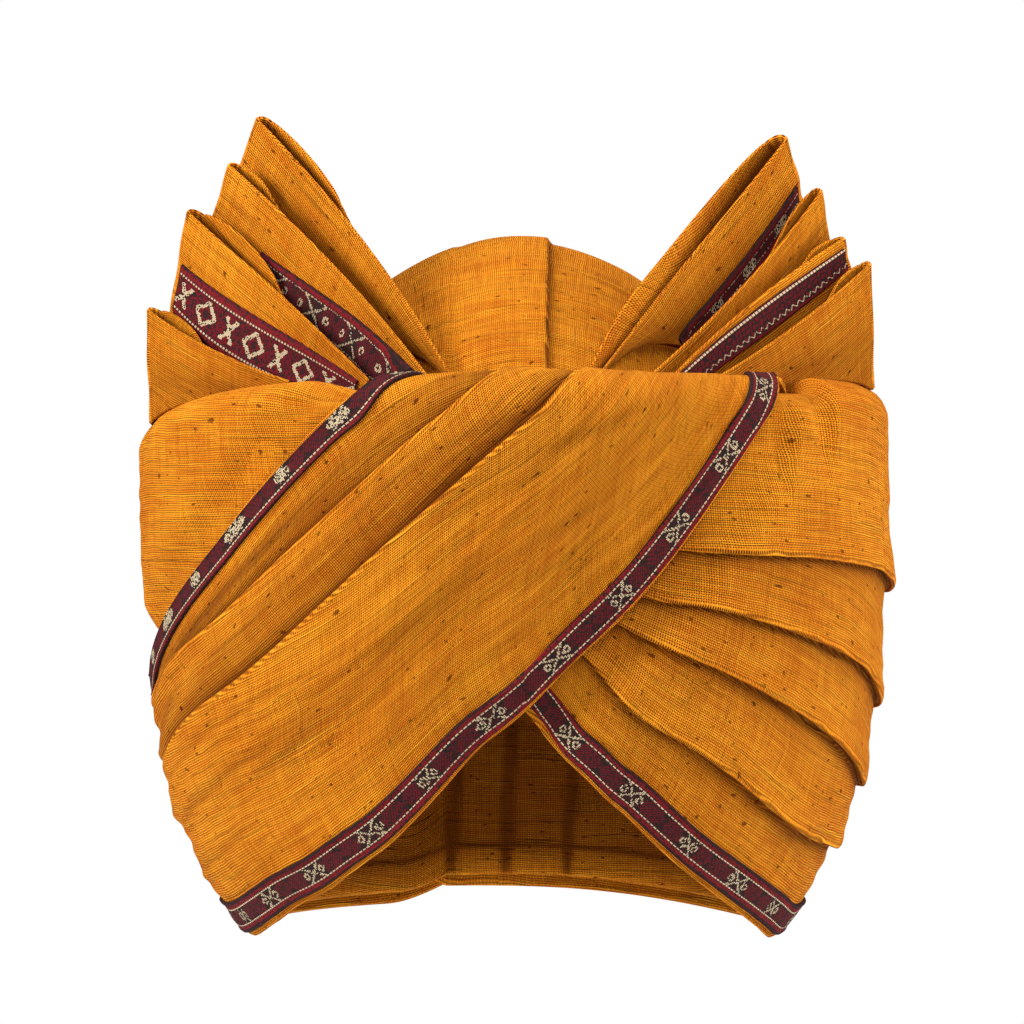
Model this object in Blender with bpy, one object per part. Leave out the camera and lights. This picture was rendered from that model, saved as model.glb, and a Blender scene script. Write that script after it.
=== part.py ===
"""Tied turban pagri in the shape that it has on a head, with nothing under it.

The frame is in metres, +Z up. The front faces -Y and +X is to the right of someone who looks at the
front. The origin is the inside top of the crown, where the head's top sits.

Angles run round the head: 0 is the front, 90 the +X side, 180 the back and -90 the -X side. A wrap is
placed by its angle and by its path, the length along the cloth from the crest of the band's top edge:
plus runs down the outside, minus runs over the crest into the groove round the crown.
"""

import math

import bpy
import numpy as np

# The crown and the inner wall
CAP_HALF_WIDTH = 0.078
CAP_HALF_DEPTH = 0.098
CAP_DOME_HEIGHT = 0.097
CAP_TAPER = 0.0025
CAP_CLOTH = 0.002
CAP_EDGE_LIFT = 0.003
CROWN_PLEAT_STEP = 0.0018
CROWN_PLEAT_OFFSET = 0.009
CROWN_PLEAT_REACH = 0.045
BACK_FOLD_STEP = 0.0012
BACK_FOLD_OFFSET = 0.021

# The wraps
RIM_DROP = 0.203
WRAP_HEIGHT = 0.161
WRAP_CLOTH = 0.002
BULGE_SIDE = 0.0300
BULGE_FRONT = 0.0175
BULGE_BACK = 0.022
BULGE_RISE = 0.038
ROLL_RADIUS = 0.009
ROLL_INNER_TURN = 2.0
SHELF_LENGTH = 0.026
SHELF_DROP = 0.020
LAYER_GAP = 0.0006
CROSSING_SPREAD = 0.018
COVER_MARGIN = 0.008
COVER_SPREAD = 0.012
OVER_CLEARANCE = 0.0016
CREST_DENSITY = 0.030
CREST_REACH = 0.012
PLEAT_HEIGHT = 0.0036
PLEAT_LENGTH = 0.020
PLEAT_LIP = 0.0035
FOLD_LIP = 0.004
FOLD_LENGTH = 0.028
RIDGE_WIDTH = 0.0035

# The woven trims
TRIM_THICKNESS = 0.001
TRIM_GAP = 0.0003
WRAP_TRIM_WIDTH = 0.0085
UPPER_TRIM_WIDTH = 0.0065
SELVAGE_WIDTH = 0.0015

# The fans
FAN_CLOTH = 0.0012
FAN_REACH = 0.092
FAN_RISE = 0.078
FAN_LEAN = 0.072
FAN_ROOT_X = 0.017
FAN_FRONT_Y = -0.084
FAN_LAYER_GAP = 0.0024
FAN_SEAT_GAP = 0.0003
FAN_SEAT_REACH = 0.004

# How finely the surfaces are divided: the wraps' stations go round the head in zones, each a last
# angle and a number of steps from the angle before it.
STATION_START = -240.0
STATION_ZONES = ((-112.5, 14), (-30.0, 11), (-7.5, 5), (30.0, 5), (52.5, 5), (120.0, 8))
CAP_STATIONS = 40
CAP_DOME_ROWS = 6
CAP_WALL_ROWS = 5
OVER_FIELD_ROWS = 12

OVER_END = 52.5
LOWER_TRIM_SPAN = (-226.0, 49.0)
UPPER_TRIM_SPAN = (-182.0, -10.0)
UNDER_TRIM_SPAN = (-1.0, 112.0)

TOP_Z = WRAP_HEIGHT - RIM_DROP


def table(names, *rows):
    """A short table: its columns by name, as arrays."""
    columns = np.array(rows, dtype=float).T
    return dict(zip(names.split(), columns))


# The top edge's height, as a share of WRAP_HEIGHT above the rim.
TOP_EDGE = table(
    "angle height",
    (-180, 0.955), (-130, 0.935), (-85, 0.932), (-70, 0.955), (-45, 0.984), (-20, 0.998),
    (0, 1.007), (20, 1.002), (50, 1.004), (80, 0.996), (110, 0.975), (150, 0.96), (180, 0.955),
)

# The edges of the two wraps as shares of WRAP_HEIGHT above the rim. Past the top edge a share counts
# on over the crest.
OVER_EDGES = table(
    "angle lower upper",
    (-254, 1.60, 1.60), (-244, 1.04, 1.06), (-234, 0.965, 1.06), (-225, 0.875, 1.06),
    (-215, 0.74, 1.06), (-205, 0.56, 1.055), (-195, 0.37, 1.03), (-187, 0.235, 1.00),
    (-180, 0.15, 0.965), (-172, 0.08, 0.91), (-163, 0.03, 0.82), (-150, 0.00, 0.70),
    (-130, 0.00, 0.55), (-110, 0.00, 0.48), (-85, 0.00, 0.475), (-78, 0.00, 0.515),
    (-60, 0.040, 0.635), (-50, 0.079, 0.712), (-41, 0.111, 0.80), (-33, 0.155, 0.88),
    (-26, 0.195, 0.95), (-20, 0.243, 1.00), (-15, 0.289, 1.035), (-7, 0.368, 1.08), (1, 0.426, 1.10),
    (9, 0.509, 1.10), (18, 0.610, 1.10), (25.5, 0.717, 1.10), (32, 0.821, 1.10),
    (38, 0.912, 1.10), (44, 0.995, 1.10), (53, 1.065, 1.10), (64, 1.60, 1.60), (106, 1.60, 1.60),
)
UNDER_LOWER_EDGE = table(
    "angle height",
    (-180, 0.03), (-110, 0.06), (-80, 0.12), (-41, 0.22), (-15, 0.36), (-4, 0.424), (4, 0.392),
    (11, 0.299), (20, 0.229), (33, 0.149), (47.5, 0.080), (73, 0.0), (110, 0.0), (180, 0.03),
)

# The under wrap's pleats: the height of each one's lower edge at an angle, and how much it stands out.
PLEATS = table(
    "angle pleat_1 pleat_2 pleat_3 pleat_4 stand",
    (0, 0.74, 0.68, 0.62, 0.55, 0.0), (10, 0.715, 0.65, 0.595, 0.52, 0.1),
    (20, 0.695, 0.612, 0.55, 0.42, 0.3), (30, 0.695, 0.600, 0.505, 0.36, 0.55),
    (40, 0.692, 0.575, 0.457, 0.30, 0.75), (50, 0.686, 0.545, 0.410, 0.24, 0.9),
    (60, 0.675, 0.512, 0.362, 0.195, 1.0), (70, 0.658, 0.465, 0.312, 0.165, 1.0),
    (78, 0.630, 0.420, 0.265, 0.145, 1.0), (95, 0.605, 0.385, 0.245, 0.135, 1.0),
    (125, 0.605, 0.385, 0.245, 0.135, 0.7), (150, 0.63, 0.42, 0.27, 0.15, 0.3),
    (170, 0.66, 0.46, 0.30, 0.17, 0.0), (200, 0.68, 0.48, 0.33, 0.19, 0.0),
)

# The over wrap's long folds: two creases whose lower side lies on top, and one thin ridge.
FOLDS = table(
    "angle crease_1 crease_2 ridge stand",
    (-180, 0.40, 0.25, 0.18, 0.0), (-130, 0.37, 0.23, 0.15, 0.3), (-100, 0.385, 0.26, 0.17, 0.8),
    (-80, 0.440, 0.317, 0.25, 1.0), (-57, 0.542, 0.420, 0.355, 1.0), (-43, 0.630, 0.495, 0.42, 1.0),
    (-28, 0.760, 0.615, 0.50, 1.0), (-15, 0.887, 0.748, 0.61, 1.0), (-4, 0.99, 0.870, 0.735, 1.0),
    (8, 1.09, 0.990, 0.885, 1.0), (17, 1.16, 1.06, 0.985, 0.9), (30, 1.2, 1.12, 1.08, 0.4),
    (48, 1.2, 1.2, 1.2, 0.0),
)
CREASE_HEIGHTS = (0.0024, 0.0034)
RIDGE_HEIGHT = 0.0014

# The leaves of the fans. A leaf is one piece of cloth folded round its outer edge, open at the top.
# Its corners are the base and the tip of its top edge, the foot of its outer edge, and the root of its
# low edge. Columns "out", "up" and "back" are shares of FAN_REACH, FAN_RISE and FAN_LEAN.
LEAF_COLUMNS = (
    "base_out base_back tip_out tip_up tip_back foot_out foot_up mid_out mid_up root_out root_up "
    "bow mouth slit rise"
)
LEFT_LEAVES = table(
    LEAF_COLUMNS,
    (0.00, 0.00, 0.620, 1.000, 0.86, 0.73, 0.66, 0.40, 0.18, 0.06, -0.05, 0.015, 0.0050, 0.55, 0.0040),
    (0.07, -0.02, 0.705, 0.82, 0.76, 0.81, 0.46, 0.50, 0.03, 0.16, -0.12, 0.030, 0.0045, 0.70, 0.0030),
    (0.15, -0.028, 0.835, 0.64, 0.747, 0.90, 0.21, 0.62, -0.10, 0.28, -0.16, 0.020, 0.0055, 0.45, 0.0060),
    (0.45, 0.177, 0.965, 0.275, 0.747, 0.965, -0.10, 0.72, -0.10, 0.47, -0.15, -0.030, 0.0045, 0.35, 0.0045),
)
RIGHT_LEAVES = table(
    LEAF_COLUMNS,
    (0.09, 0.04, 0.650, 0.925, 0.92, 0.715, 0.66, 0.42, 0.18, 0.15, -0.05, 0.000, 0.0070, -0.50, 0.0060),
    (0.20, 0.057, 0.775, 0.73, 0.867, 0.805, 0.50, 0.52, 0.11, 0.26, -0.10, 0.000, 0.0038, 0.50, 0.0035),
    (0.275, 0.070, 0.845, 0.55, 0.820, 0.875, 0.37, 0.60, 0.05, 0.33, -0.14, 0.030, 0.0036, 0.10, 0.0035),
    (0.41, 0.135, 0.925, 0.45, 0.750, 0.935, 0.02, 0.72, -0.04, 0.45, -0.15, 0.020, 0.0036, 0.20, 0.0035),
)
# A trim on a leaf's front: which leaf, its span along the leaf and its span down the leaf.
FAN_TRIMS = {
    "left_fan_narrow_trim": (LEFT_LEAVES, -1, 1, (0.04, 0.80), (0.58, 0.84)),
    "left_fan_wide_trim": (LEFT_LEAVES, -1, 2, (0.04, 0.985), (0.46, 0.88)),
    "right_fan_narrow_trim": (RIGHT_LEAVES, 1, 0, (0.04, 0.985), (0.72, 0.98)),
    "right_fan_wide_trim": (RIGHT_LEAVES, 1, 2, (0.04, 0.985), (0.04, 0.94)),
}
LEAF_LENGTH_CELLS = 6
LEAF_DROP_CELLS = 3
LOOP_CELLS = 4

CLOTH_COLOUR = (0.71, 0.30, 0.022, 1.0)
TRIM_COLOUR = (0.16, 0.008, 0.018, 1.0)
CLOTH_ROUGHNESS = 0.85


def smoothstep(low, high, value):
    """A smooth rise from 0 at low to 1 at high."""
    share = np.clip((value - low) / (high - low), 0.0, 1.0)
    return share * share * (3.0 - 2.0 * share)


def curve(rows, column, angle):
    """A smooth curve through a table's column, read at angles in degrees all round the head."""
    knots = rows["angle"]
    values = rows[column]
    turns = np.mod(np.asarray(angle) - knots[0], 360.0) + knots[0]
    turns = np.minimum(turns, knots[-1])
    slopes = np.diff(values) / np.diff(knots)
    tangents = np.zeros_like(values)
    tangents[1:-1] = np.where(slopes[:-1] * slopes[1:] > 0, 0.5 * (slopes[:-1] + slopes[1:]), 0.0)
    cell = np.clip(np.searchsorted(knots, turns, side="right") - 1, 0, len(knots) - 2)
    width = knots[cell + 1] - knots[cell]
    step = (turns - knots[cell]) / width
    rise = values[cell + 1] - values[cell]
    blend = step * step * (3.0 - 2.0 * step)
    start = tangents[cell] * width * step * (1.0 - step) ** 2
    end = tangents[cell + 1] * width * step * step * (1.0 - step)
    return values[cell] + rise * blend + start - end


def top_z(angle):
    """The height of the crest of the band's top edge."""
    return -RIM_DROP + WRAP_HEIGHT * curve(TOP_EDGE, "height", angle)


def path_of(angle, share):
    """The path at a height share: an arc over the crest, then straight down the outside."""
    drop = top_z(angle) - (-RIM_DROP + WRAP_HEIGHT * share)
    turn = np.arccos(np.clip(1.0 - drop / ROLL_RADIUS, -1.0, 1.0)) * ROLL_RADIUS
    wall = drop + (0.5 * math.pi - 1.0) * ROLL_RADIUS
    return np.where(drop < 0.0, drop, np.where(drop < ROLL_RADIUS, turn, wall))


def base_z(angle):
    """The lowest edge of the wraps at an angle, which is the V over the forehead."""
    over = curve(OVER_EDGES, "lower", angle)
    under = curve(UNDER_LOWER_EDGE, "height", angle)
    return -RIM_DROP + WRAP_HEIGHT * np.minimum(over, under)


def over_lift():
    """How far the over wrap's cloth lies outside the under wrap's, with room for a trim between."""
    return WRAP_CLOTH + TRIM_THICKNESS + TRIM_GAP + OVER_CLEARANCE


def bulge(angle, height):
    """How far the wraps' middle surface stands out from the cap's, sideways and lengthways."""
    contact = 0.5 * (CAP_CLOTH + WRAP_CLOTH) + LAYER_GAP
    apart = curve(OVER_EDGES, "lower", angle) - curve(UNDER_LOWER_EDGE, "height", angle)
    crossing = over_lift() * np.exp(-(apart * WRAP_HEIGHT / CROSSING_SPREAD) ** 2)
    rise = 1.0 - np.exp(-np.maximum(height, 0.0) / BULGE_RISE)
    ends = np.where(np.cos(np.radians(angle)) > 0, BULGE_FRONT, BULGE_BACK)
    return contact + crossing + BULGE_SIDE * rise, contact + crossing + ends * rise


def cap_radii(z):
    """The half width and half depth of the cap's middle surface at a height."""
    below = np.maximum(-CAP_DOME_HEIGHT - z, 0.0) / (RIM_DROP - CAP_DOME_HEIGHT)
    above = np.maximum(z + CAP_DOME_HEIGHT, 0.0) / CAP_DOME_HEIGHT
    dome = np.sqrt(np.maximum(1.0 - above ** 2, 0.0))
    return (CAP_HALF_WIDTH - CAP_TAPER * below) * dome, (CAP_HALF_DEPTH - CAP_TAPER * below) * dome


def wrap_profile(angle, path):
    """The wraps' middle surface as a half width, a half depth and a height."""
    top = top_z(angle)
    centre = top - ROLL_RADIUS
    wall = path > 0.5 * math.pi * ROLL_RADIUS
    wall_z = centre - (path - 0.5 * math.pi * ROLL_RADIUS)
    z_for_radius = np.where(wall, wall_z, centre)
    straight_z = np.minimum(z_for_radius, -CAP_DOME_HEIGHT)
    half_width, half_depth = cap_radii(straight_z)
    side_stand, end_stand = bulge(angle, z_for_radius - base_z(angle))
    inner_path = -ROLL_INNER_TURN * ROLL_RADIUS
    turn = np.clip(path, inner_path, None) / ROLL_RADIUS
    inward = np.where(wall, 0.0, ROLL_RADIUS * (np.sin(turn) - 1.0))
    z = np.where(wall, wall_z, centre + ROLL_RADIUS * np.cos(turn))
    width = half_width + side_stand + inward
    depth = half_depth + end_stand + inward
    along = np.clip((inner_path - path) / SHELF_LENGTH, 0.0, 1.0)
    contact = 0.5 * (CAP_CLOTH + WRAP_CLOTH) + 2.0 * LAYER_GAP
    shelf_z = top - ROLL_RADIUS - SHELF_DROP
    shelf_width, shelf_depth = cap_radii(shelf_z)
    width = width + (shelf_width + contact - width) * along
    depth = depth + (shelf_depth + contact - depth) * along
    z = z + (shelf_z - z) * along
    return width, depth, z


def wrap_point(angle, path, offset):
    """A point off the wraps' middle surface, by an offset along the cloth's own normal."""
    step = 0.0005
    width, depth, z = wrap_profile(angle, path)
    width_2, depth_2, z_2 = wrap_profile(angle, path + step)
    run = 0.5 * (width_2 - width + depth_2 - depth)
    fall = z_2 - z
    length = np.sqrt(run * run + fall * fall) + 1e-12
    out = -fall / length
    up = run / length
    radians = np.radians(angle)
    x = (width + offset * out) * np.sin(radians)
    y = -(depth + offset * out) * np.cos(radians)
    return np.stack([x, y, z + offset * up], axis=-1)


def over_upper(angle):
    """The path of the over wrap's upper edge."""
    return path_of(angle, curve(OVER_EDGES, "upper", angle))


def over_lower(angle):
    """The path of the over wrap's lower edge."""
    return path_of(angle, curve(OVER_EDGES, "lower", angle))


def over_paths(angle):
    """The paths of both edges of the over wrap."""
    return over_upper(angle), over_lower(angle)


def under_lower(angle):
    """The path of the under wrap's lower edge."""
    return path_of(angle, curve(UNDER_LOWER_EDGE, "height", angle))


def slant(angle, edge):
    """How much path a width across an edge takes, where the edge slants."""
    turn = 2.0
    climb = edge(angle + turn) - edge(angle - turn)
    along = 2.0 * math.radians(turn) * (CAP_HALF_DEPTH + BULGE_FRONT)
    return np.minimum(np.sqrt(1.0 + (climb / along) ** 2), 2.5)


def cover(angle, path):
    """1 where the over wrap lies on the under wrap, fading to 0 past its edges."""
    upper, lower = over_paths(angle)
    above = (upper - path) / slant(angle, over_upper)
    below = (path - lower) / slant(angle, over_lower)
    return 1.0 - smoothstep(0.0, COVER_SPREAD, np.maximum(above, below) - COVER_MARGIN)


def pleat_relief(angle, path):
    """The under wrap's pleats: each lies over the next one down and ends in a soft lip."""
    relief = np.zeros_like(path)
    stand = curve(PLEATS, "stand", angle)
    for number in range(1, 5):
        edge = path_of(angle, curve(PLEATS, f"pleat_{number}", angle))
        above = edge - path
        relief = relief + smoothstep(0.0, PLEAT_LIP, above) * np.exp(-np.maximum(above, 0.0) / PLEAT_LENGTH)
    return PLEAT_HEIGHT * stand * relief * smoothstep(0.0, 0.02, path)


def fold_relief(angle, path):
    """The over wrap's folds: two creases whose lower side stands up, and a thin ridge."""
    stand = curve(FOLDS, "stand", angle)
    relief = np.zeros_like(path)
    for number, height in enumerate(CREASE_HEIGHTS, start=1):
        crease = path_of(angle, curve(FOLDS, f"crease_{number}", angle))
        below = path - crease
        fall = np.exp(-np.maximum(below, 0.0) / FOLD_LENGTH)
        relief = relief + height * smoothstep(0.0, FOLD_LIP, below) * fall
    ridge = path_of(angle, curve(FOLDS, "ridge", angle))
    relief = relief + RIDGE_HEIGHT * np.exp(-((path - ridge) / RIDGE_WIDTH) ** 2)
    lower = over_paths(angle)[1]
    return stand * relief * smoothstep(0.0, 0.012, lower - path)


def under_point(angle, path, extra=0.0):
    """A point of the under wrap, pressed in where the over wrap lies on it."""
    covered = cover(angle, path)
    offset = pleat_relief(angle, path) * (1.0 - covered) - over_lift() * covered
    return wrap_point(angle, path, offset + extra)


def over_point(angle, path, extra=0.0):
    """A point of the over wrap."""
    return wrap_point(angle, path, fold_relief(angle, path) + extra)


def unit(vectors):
    """Vectors scaled to length 1."""
    return vectors / (np.linalg.norm(vectors, axis=-1, keepdims=True) + 1e-15)


def surface_normals(points, closed):
    """Unit normals of a grid of points, away from the head on the wraps. A closed grid is a ring."""
    if closed:
        ahead = np.roll(points, -1, axis=0) - np.roll(points, 1, axis=0)
    else:
        ahead = np.gradient(points, axis=0)
    across = np.gradient(points, axis=1)
    return unit(np.cross(across, ahead))


def add_object(name, vertices, faces, colour, roughness):
    """Make a mesh object with its own material."""
    mesh = bpy.data.meshes.new(name)
    mesh.from_pydata([tuple(vertex) for vertex in vertices], [], faces)
    mesh.validate()
    material = bpy.data.materials.new(name + "_cloth")
    material.use_nodes = True
    shader = material.node_tree.nodes["Principled BSDF"]
    shader.inputs["Base Color"].default_value = colour
    shader.inputs["Roughness"].default_value = roughness
    shader.inputs["Metallic"].default_value = 0.0
    mesh.materials.append(material)
    mesh.shade_smooth()
    mesh.set_sharp_from_angle(angle=math.radians(60.0))
    made = bpy.data.objects.new(name, mesh)
    bpy.context.scene.collection.objects.link(made)
    return made


def sheet_solid(name, points, thickness, closed=False, colour=CLOTH_COLOUR, normals=None, cloth=None):
    """A closed solid of even thickness on a grid of points, rows first, split like the cloth below it."""
    if normals is None:
        normals = surface_normals(points, closed)
    if cloth is None:
        cloth = points
    rows, columns = points.shape[:2]
    outer = points + 0.5 * thickness * normals
    inner = points - 0.5 * thickness * normals
    vertices = np.concatenate([outer.reshape(-1, 3), inner.reshape(-1, 3)])
    half = rows * columns

    def index(row, column):
        return (row % rows) * columns + column

    faces = []
    last_row = rows if closed else rows - 1
    for row in range(last_row):
        for column in range(columns - 1):
            ring = (index(row, column), index(row, column + 1),
                    index(row + 1, column + 1), index(row + 1, column))
            corners = cloth.reshape(-1, 3)[list(ring)]
            if np.linalg.norm(corners[0] - corners[2]) <= np.linalg.norm(corners[1] - corners[3]):
                parts = (ring[:3], (ring[0], ring[2], ring[3]))
            else:
                parts = (ring[1:], (ring[0], ring[1], ring[3]))
            for part in parts:
                faces.append(part)
                faces.append(tuple(half + corner for corner in reversed(part)))
        for column, order in ((0, -1), (columns - 1, 1)):
            ring = (index(row, column), half + index(row, column),
                    half + index(row + 1, column), index(row + 1, column))
            faces.append(ring[::order])
    if not closed:
        for column in range(columns - 1):
            for row, order in ((0, 1), (rows - 1, -1)):
                ring = (index(row, column), half + index(row, column),
                        half + index(row, column + 1), index(row, column + 1))
                faces.append(ring[::order])
    return add_object(name, vertices, faces, colour, CLOTH_ROUGHNESS)


def stations():
    """The angles of the stations, once round the head from behind the right."""
    angles = [np.array([STATION_START])]
    for last, steps in STATION_ZONES:
        angles.append(np.linspace(angles[-1][-1], last, steps + 1)[1:])
    return np.concatenate(angles)[:-1]


def span_of(angles, span):
    """The stations whose angles lie in a span."""
    inside = np.flatnonzero((angles >= span[0]) & (angles <= span[1]))
    return slice(int(inside[0]), int(inside[-1]) + 1)


def crown_relief(points):
    """The crown's pleat, a step beside the middle that fades towards the back and the groove."""
    x, y, z = points[..., 0], points[..., 1], points[..., 2]
    seam = CROWN_PLEAT_OFFSET + 0.03 * (z + 0.02)
    beside = smoothstep(0.001, -0.001, x - seam) * smoothstep(-CROWN_PLEAT_REACH, 0.0, x - seam)
    high = smoothstep(-0.060, -0.040, z)
    ahead = smoothstep(0.050, 0.010, y)
    return CROWN_PLEAT_STEP * beside * high * ahead


def back_relief(points):
    """The fold down the inner wall at the back, a step towards the hollow."""
    x, y, z = points[..., 0], points[..., 1], points[..., 2]
    beside = smoothstep(-0.002, 0.002, x + BACK_FOLD_OFFSET) * smoothstep(0.030, 0.0, x)
    low = smoothstep(-0.11, -0.14, z)
    behind = smoothstep(0.0, 0.05, y)
    return -BACK_FOLD_STEP * beside * low * behind


def make_crown_cap():
    """The crown's dome and the inner wall below it, cut away under the V of the wraps."""
    angles = np.arange(CAP_STATIONS)[:, None] * (360.0 / CAP_STATIONS)
    pole_turns = np.linspace(0.0, 0.5 * math.pi, CAP_DOME_ROWS + 1)[None, 1:]
    dome_z = -CAP_DOME_HEIGHT + CAP_DOME_HEIGHT * np.cos(pole_turns) + 0.0 * angles
    edge_z = base_z(angles) + CAP_EDGE_LIFT
    shares = np.linspace(0.0, 1.0, CAP_WALL_ROWS + 1)[None, 1:]
    wall_z = -CAP_DOME_HEIGHT + (edge_z + CAP_DOME_HEIGHT) * shares
    z = np.concatenate([dome_z, wall_z], axis=1)
    half_width, half_depth = cap_radii(z)
    radians = np.radians(angles)
    points = np.stack([half_width * np.sin(radians), -half_depth * np.cos(radians), z], axis=-1)
    normals = surface_normals(points, True)
    relief = crown_relief(points) + back_relief(points)
    points = points + normals * relief[..., None]
    points[..., 2] += 0.5 * CAP_CLOTH
    rows, columns = points.shape[:2]
    half = rows * columns
    outer = points + 0.5 * CAP_CLOTH * normals
    inner = points - 0.5 * CAP_CLOTH * normals
    lift = CROWN_PLEAT_STEP * float(crown_relief(np.zeros((1, 1, 3)))[0, 0] > 0)
    poles = np.array([[0.0, 0.0, CAP_CLOTH + lift], [0.0, 0.0, lift]])
    vertices = np.concatenate([outer.reshape(-1, 3), inner.reshape(-1, 3), poles])
    faces = []
    for row in range(rows):
        following = (row + 1) % rows
        for column in range(columns - 1):
            ring = (row * columns + column, row * columns + column + 1,
                    following * columns + column + 1, following * columns + column)
            faces.append(ring)
            faces.append(tuple(half + corner for corner in reversed(ring)))
        faces.append((2 * half, row * columns, following * columns))
        faces.append((2 * half + 1, half + following * columns, half + row * columns))
        last = columns - 1
        faces.append((row * columns + last, half + row * columns + last,
                      half + following * columns + last, following * columns + last))
    return add_object("crown_cap", vertices, faces, CLOTH_COLOUR, CLOTH_ROUGHNESS)


def trim_rows(angles, edge, width, side):
    """The paths of a border's two edges, smaller path first, on the plus or minus side of an edge."""
    stretch = slant(angles, edge)
    near = edge(angles) + side * SELVAGE_WIDTH * stretch
    far = edge(angles) + side * (SELVAGE_WIDTH + width) * stretch
    return (near, far) if side > 0.0 else (far, near)


def under_rows(angles):
    """The under wrap's rows: the shelf, the crest, rows at the lips of the pleats and the edge."""
    inner_path = -ROLL_INNER_TURN * ROLL_RADIUS
    shelf = [inner_path - SHELF_LENGTH, inner_path]
    crest = [ROLL_RADIUS * turn for turn in (-1.2, -0.4, 0.4, 1.2)]
    rows = [np.full_like(angles, path) for path in shelf + crest]
    lower = under_lower(angles)
    trim_far, trim_near = trim_rows(angles, under_lower, WRAP_TRIM_WIDTH, -1.0)
    previous = rows[-1]
    for number in range(1, 5):
        lip = path_of(angles, curve(PLEATS, f"pleat_{number}", angles))
        lip = np.minimum(lip, trim_far - 0.006 * (5 - number))
        lip = np.maximum(lip, previous + 0.006)
        if number < 4:
            rows.append(0.5 * (previous + lip - PLEAT_LIP))
        rows.append(lip - PLEAT_LIP)
        rows.append(lip)
        previous = lip
    rows.extend([trim_far, trim_near, lower])
    return np.stack(rows, axis=1)


def over_rows(angles):
    """The over wrap's rows: its edges, the trims' edges and even rows between them."""
    upper, lower = over_paths(angles)
    upper_near, upper_far = trim_rows(angles, over_upper, UPPER_TRIM_WIDTH, 1.0)
    lower_far, lower_near = trim_rows(angles, over_lower, WRAP_TRIM_WIDTH, -1.0)
    narrow = np.clip((lower - upper) / (2.0 * (upper_far - upper + lower - lower_far)), 0.0, 1.0)
    first = upper + (upper_near - upper) * narrow
    second = upper + (upper_far - upper) * narrow
    ninth = lower + (lower_far - lower) * narrow
    last = lower + (lower_near - lower) * narrow
    known = np.linspace(-0.05, 0.20, 501)
    spread = known + CREST_DENSITY * np.tanh(known / CREST_REACH)
    start = np.interp(second, known, spread)[:, None]
    end = np.interp(ninth, known, spread)[:, None]
    shares = np.linspace(0.0, 1.0, OVER_FIELD_ROWS)[None, :]
    field = np.interp(start + (end - start) * shares, spread, known)
    return np.column_stack([upper, first, field, last, lower])


def make_border(name, points, normals):
    """A woven border laid on part of a wrap's grid."""
    lay = 0.5 * (WRAP_CLOTH + TRIM_THICKNESS) + TRIM_GAP
    laid = points + lay * normals
    return sheet_solid(name, laid, TRIM_THICKNESS, colour=TRIM_COLOUR, normals=normals, cloth=points)


def make_under_wrap():
    """The pleated wrap, a tilted ring that closes the groove round the crown, and its border."""
    angles = stations()
    points = under_point(angles[:, None], under_rows(angles))
    normals = surface_normals(points, True)
    sheet_solid("under_wrap", points, WRAP_CLOTH, closed=True, normals=normals)
    part = (span_of(angles, UNDER_TRIM_SPAN), slice(-3, -1))
    make_border("under_wrap_trim", points[part], normals[part])


def make_over_wrap():
    """The wide wrap that crosses the front, tucked over the top edge at both ends, and its borders."""
    angles = stations()
    angles = angles[angles <= OVER_END]
    points = over_point(angles[:, None], over_rows(angles))
    normals = surface_normals(points, False)
    sheet_solid("over_wrap", points, WRAP_CLOTH, normals=normals)
    part = (span_of(angles, LOWER_TRIM_SPAN), slice(-3, -1))
    make_border("over_wrap_lower_trim", points[part], normals[part])
    part = (span_of(angles, UPPER_TRIM_SPAN), slice(1, 3))
    make_border("over_wrap_upper_trim", points[part], normals[part])


def bezier(start, middle, end, share):
    """A quadratic curve that passes through its middle point at half way."""
    handle = 2.0 * middle - 0.5 * (start + end)
    share = share[..., None]
    return (1.0 - share) ** 2 * start + 2.0 * share * (1.0 - share) * handle + share ** 2 * end


def dome_z(x, y):
    """The height of the cap's outer face over a place."""
    inside = 1.0 - (x / CAP_HALF_WIDTH) ** 2 - (y / CAP_HALF_DEPTH) ** 2
    z = CAP_DOME_HEIGHT * (math.sqrt(max(inside, 0.0)) - 1.0) + CAP_CLOTH
    return z + float(crown_relief(np.array([x, y, z])))


def band_z(x, y):
    """The height of the band's cloth over a place: its groove, or its crest further out."""
    paths = np.linspace(-ROLL_INNER_TURN * ROLL_RADIUS - SHELF_LENGTH, 0.4 * math.pi * ROLL_RADIUS, 60)
    angle = math.degrees(math.atan2(x / (CAP_HALF_WIDTH + BULGE_SIDE), -y / (CAP_HALF_DEPTH + BULGE_FRONT)))
    width, depth, z = wrap_profile(np.full_like(paths, angle), paths)
    reach = np.sqrt((x / width) ** 2 + (y / depth) ** 2)
    order = np.argsort(-reach)
    return float(np.interp(-1.0, -reach[order], z[order])) + 0.5 * WRAP_CLOTH


def rest_z(x, y, half):
    """The height that a leaf's low edge keeps over a place, with room for half its thickness."""
    ways = [(side, ahead) for side in (-1, 0, 1) for ahead in (-1, 0, 1)]
    near = half + FAN_SEAT_REACH
    on_dome = max(dome_z(x + half * side, y + half * ahead) for side, ahead in ways)
    return max(on_dome, max(band_z(x + near * side, y + near * ahead) for side, ahead in ways))


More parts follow.
